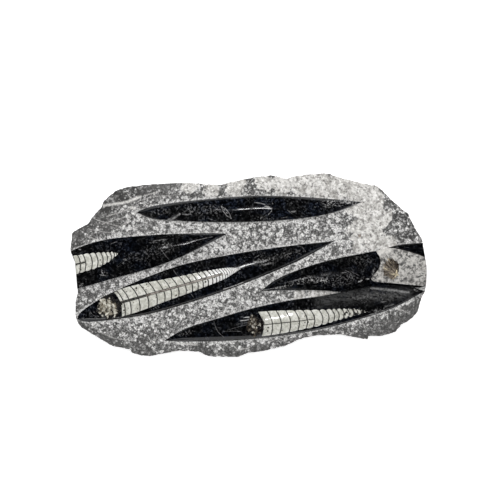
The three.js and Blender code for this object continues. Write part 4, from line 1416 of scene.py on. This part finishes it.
def make_slab(ring):
    """The limestone: chiselled top, broken sides, sawn left edge and flat sawn underside."""
    sides = rim_curves(ring)
    plan = plan_grid([stand_in(side, inset_at(GROUND)) for side in sides]).reshape(-1, 2)
    rows, columns = CELLS_ACROSS + 1, CELLS_ALONG + 1
    rim_plan = np.vstack([side[:-1] for side in sides])
    right = [i * columns + columns - 1 for i in range(1, rows)]
    upper = [(rows - 1) * columns + j for j in range(columns - 2, -1, -1)]
    left = [i * columns for i in range(rows - 2, 0, -1)]
    rim = list(range(columns)) + right + upper + left

    flat = np.column_stack([plan, np.zeros(len(plan))])
    distance, half = fossil_field(plan)
    to_rim = rim_distances(plan, rim_plan)
    level, fall = ground_height(*plan.T)
    depth = peck_depths(plan)
    worn = patch_mask(flat + (0, 0, GROUND), WORN_STRETCHES, 6) * (1 - smoothstep(to_rim, 16, 27))
    height = carved_heights(flat, level, np.maximum(worn, fall), depth, to_rim, distance, half)

    points = np.vstack([np.column_stack([plan, height]), *side_rings(rim_plan, height[rim])])
    below = len(points) - len(plan)
    faces = grid_faces(rows, columns)
    above = rim
    for start in range(len(plan), len(points), len(rim)):
        under = list(range(start, start + len(rim)))
        faces += list(zip(above, under, under[1:] + under[:1], above[1:] + above[:1]))
        above = under
    faces.append(tuple(above[::-1]))
    slab = new_piece("limestone_slab", points, faces, [chiselled_limestone()], nodes=["matrix_slab"])
    for label, on_top, on_sides in (
            ("fossil_distance", distance, 20.0), ("worn_rim", worn, 0.6), ("side", np.zeros(len(plan)), 1.0),
            ("peck", depth, 0.0), ("pecking", smoothstep(to_rim, 8, 34), 0.0)):
        add_attribute(slab, label, np.concatenate([on_top, np.full(below, on_sides)]))
    add_attribute(slab, "broken_face", np.concatenate([fall, np.tile(fall[rim], SIDE_ROWS)]))
    pale = patch_mask(points, PALE_PATCHES, 21) * (1 - patch_mask(points, GREY_PATCHES, 22))
    add_attribute(slab, "pale", pale)
    add_attribute(slab, "dark", patch_mask(points, DARK_PATCHES, 23))


# ---------------------------------------------------------------------------------------------------------
# Floor, light and camera
# ---------------------------------------------------------------------------------------------------------

FLOOR_HALF = 3.0           # metres
FLOOR_GAP = 0.0002


def make_floor():
    material, tree, shader = new_material("studio_floor")
    cloud = add(tree, "ShaderNodeTexNoise", {"Vector": place(tree), "Scale": 3.0, "Detail": 2.0})
    set_inputs(tree, shader, {
        "Base Color": blend_colours(tree, cloud.outputs["Fac"], (0.9, 0.9, 0.9, 1), (0.93, 0.93, 0.93, 1)),
        "Roughness": 0.95, "Specular IOR Level": 0.1,
        "Emission Color": (1, 1, 1, 1), "Emission Strength": 0.6})
    mesh = bpy.data.meshes.new("floor")
    corners = [(x * FLOOR_HALF, y * FLOOR_HALF, 0) for x, y in ((-1, -1), (1, -1), (1, 1), (-1, 1))]
    mesh.from_pydata(corners, [], [(0, 1, 2, 3)])
    mesh.materials.append(material)
    floor = bpy.data.objects.new("floor", mesh)
    floor.location.z = -FLOOR_GAP
    bpy.context.scene.collection.objects.link(floor)


def area_light(name, place_at, aim, size, radiance, glossy=True):
    """A rectangular lamp of a given brightness, seen by reflections only where glossy is set."""
    lamp = bpy.data.lights.new(name, "AREA")
    lamp.shape = "RECTANGLE"
    lamp.size, lamp.size_y = size
    lamp.energy = radiance * size[0] * size[1] * math.pi
    holder = bpy.data.objects.new(name, lamp)
    holder.location = place_at
    holder.rotation_euler = (Vector(aim) - Vector(place_at)).to_track_quat("-Z", "Y").to_euler()
    holder.visible_camera = False
    holder.visible_glossy = glossy
    bpy.context.scene.collection.objects.link(holder)


def make_light():
    area_light("overhead", (0.0, 0.5, 1.9), (0, 0, 0), (2.2, 2.0), 3.35, glossy=False)
    area_light("upper_side", (0.0, 1.7, 0.75), (0, 0, 0.02), (3.0, 0.9), 1.3)
    area_light("lower_side", (0.0, -1.7, 0.75), (0, 0, 0.02), (3.0, 0.9), 1.3)
    area_light("crest_line", (0.0, 0.07, 1.1), (0, 0.0, 0.02), (0.085, 0.05), 31.0)
    world = bpy.data.worlds.new("studio")
    world.use_nodes = True
    world.node_tree.nodes["Background"].inputs["Color"].default_value = (0.25, 0.25, 0.26, 1)
    world.node_tree.nodes["Background"].inputs["Strength"].default_value = 0.035
    bpy.context.scene.world = world


def make_camera():
    lens = bpy.data.cameras.new("camera")
    lens.lens = 100
    lens.sensor_width = 36
    lens.clip_end = 50
    camera = bpy.data.objects.new("camera", lens)
    camera.location = (0.0013, 0.0128, 1.194)
    bpy.context.scene.collection.objects.link(camera)
    bpy.context.scene.camera = camera
    bpy.context.scene.view_settings.view_transform = "Standard"


# ---------------------------------------------------------------------------------------------------------
# Build
# ---------------------------------------------------------------------------------------------------------

ring = outline_ring()
make_slab(ring)
envelope = edge_envelope(ring)
surfaces = make_fossils(envelope)

shell_finishes = [
    white_calcite(),
    two_tone("dark_septum", 1.6, 3.0, (0.4, 0.62), (0.006, 0.006, 0.006, 1), (0.075, 0.07, 0.06, 1), 0.3),
    two_tone("siphuncle_fill", 3.0, 4.0, (0.36, 0.64), (0.085, 0.07, 0.06, 1), (0.33, 0.30, 0.27, 1), 0.28),
]
for name, shape in CHAMBERS.items():
    shell = make_chambers(name, shape, surfaces[shape["host"]], shell_finishes)
    if shape["host"] in SAWN_ENDS:
        cut(shell, envelope, "INTERSECT")
discard(envelope)

# Each cluster: its finish with three tones, how many crystals, their tints, and where blades radiate from
clusters = {
    "crystals_centre": (
        ("cream_crystals", (0.005, 0.005, 0.006, 1), (0.19, 0.165, 0.12, 1), (0.64, 0.62, 0.55, 1)),
        480, cream_tint, None),
    "crystals_bottom": (
        ("brown_crystals", (0.004, 0.003, 0.003, 1), (0.10, 0.082, 0.06, 1), (0.56, 0.54, 0.48, 1)),
        340, cross_tint, None),
    "crystals_right": (
        ("amber_crystals", (0.022, 0.016, 0.012, 1), (0.24, 0.20, 0.155, 1), (0.80, 0.70, 0.48, 1)),
        280, blade_tint, (125.0, -8.0)),
}
for name, (tones, count, tint_of, fan) in clusters.items():
    shape = CRYSTALS[name]
    make_crystals(name, shape, surfaces[shape["host"]], crystal_finish(*tones), count, tint_of, fan)
make_floor()
make_light()
make_camera()
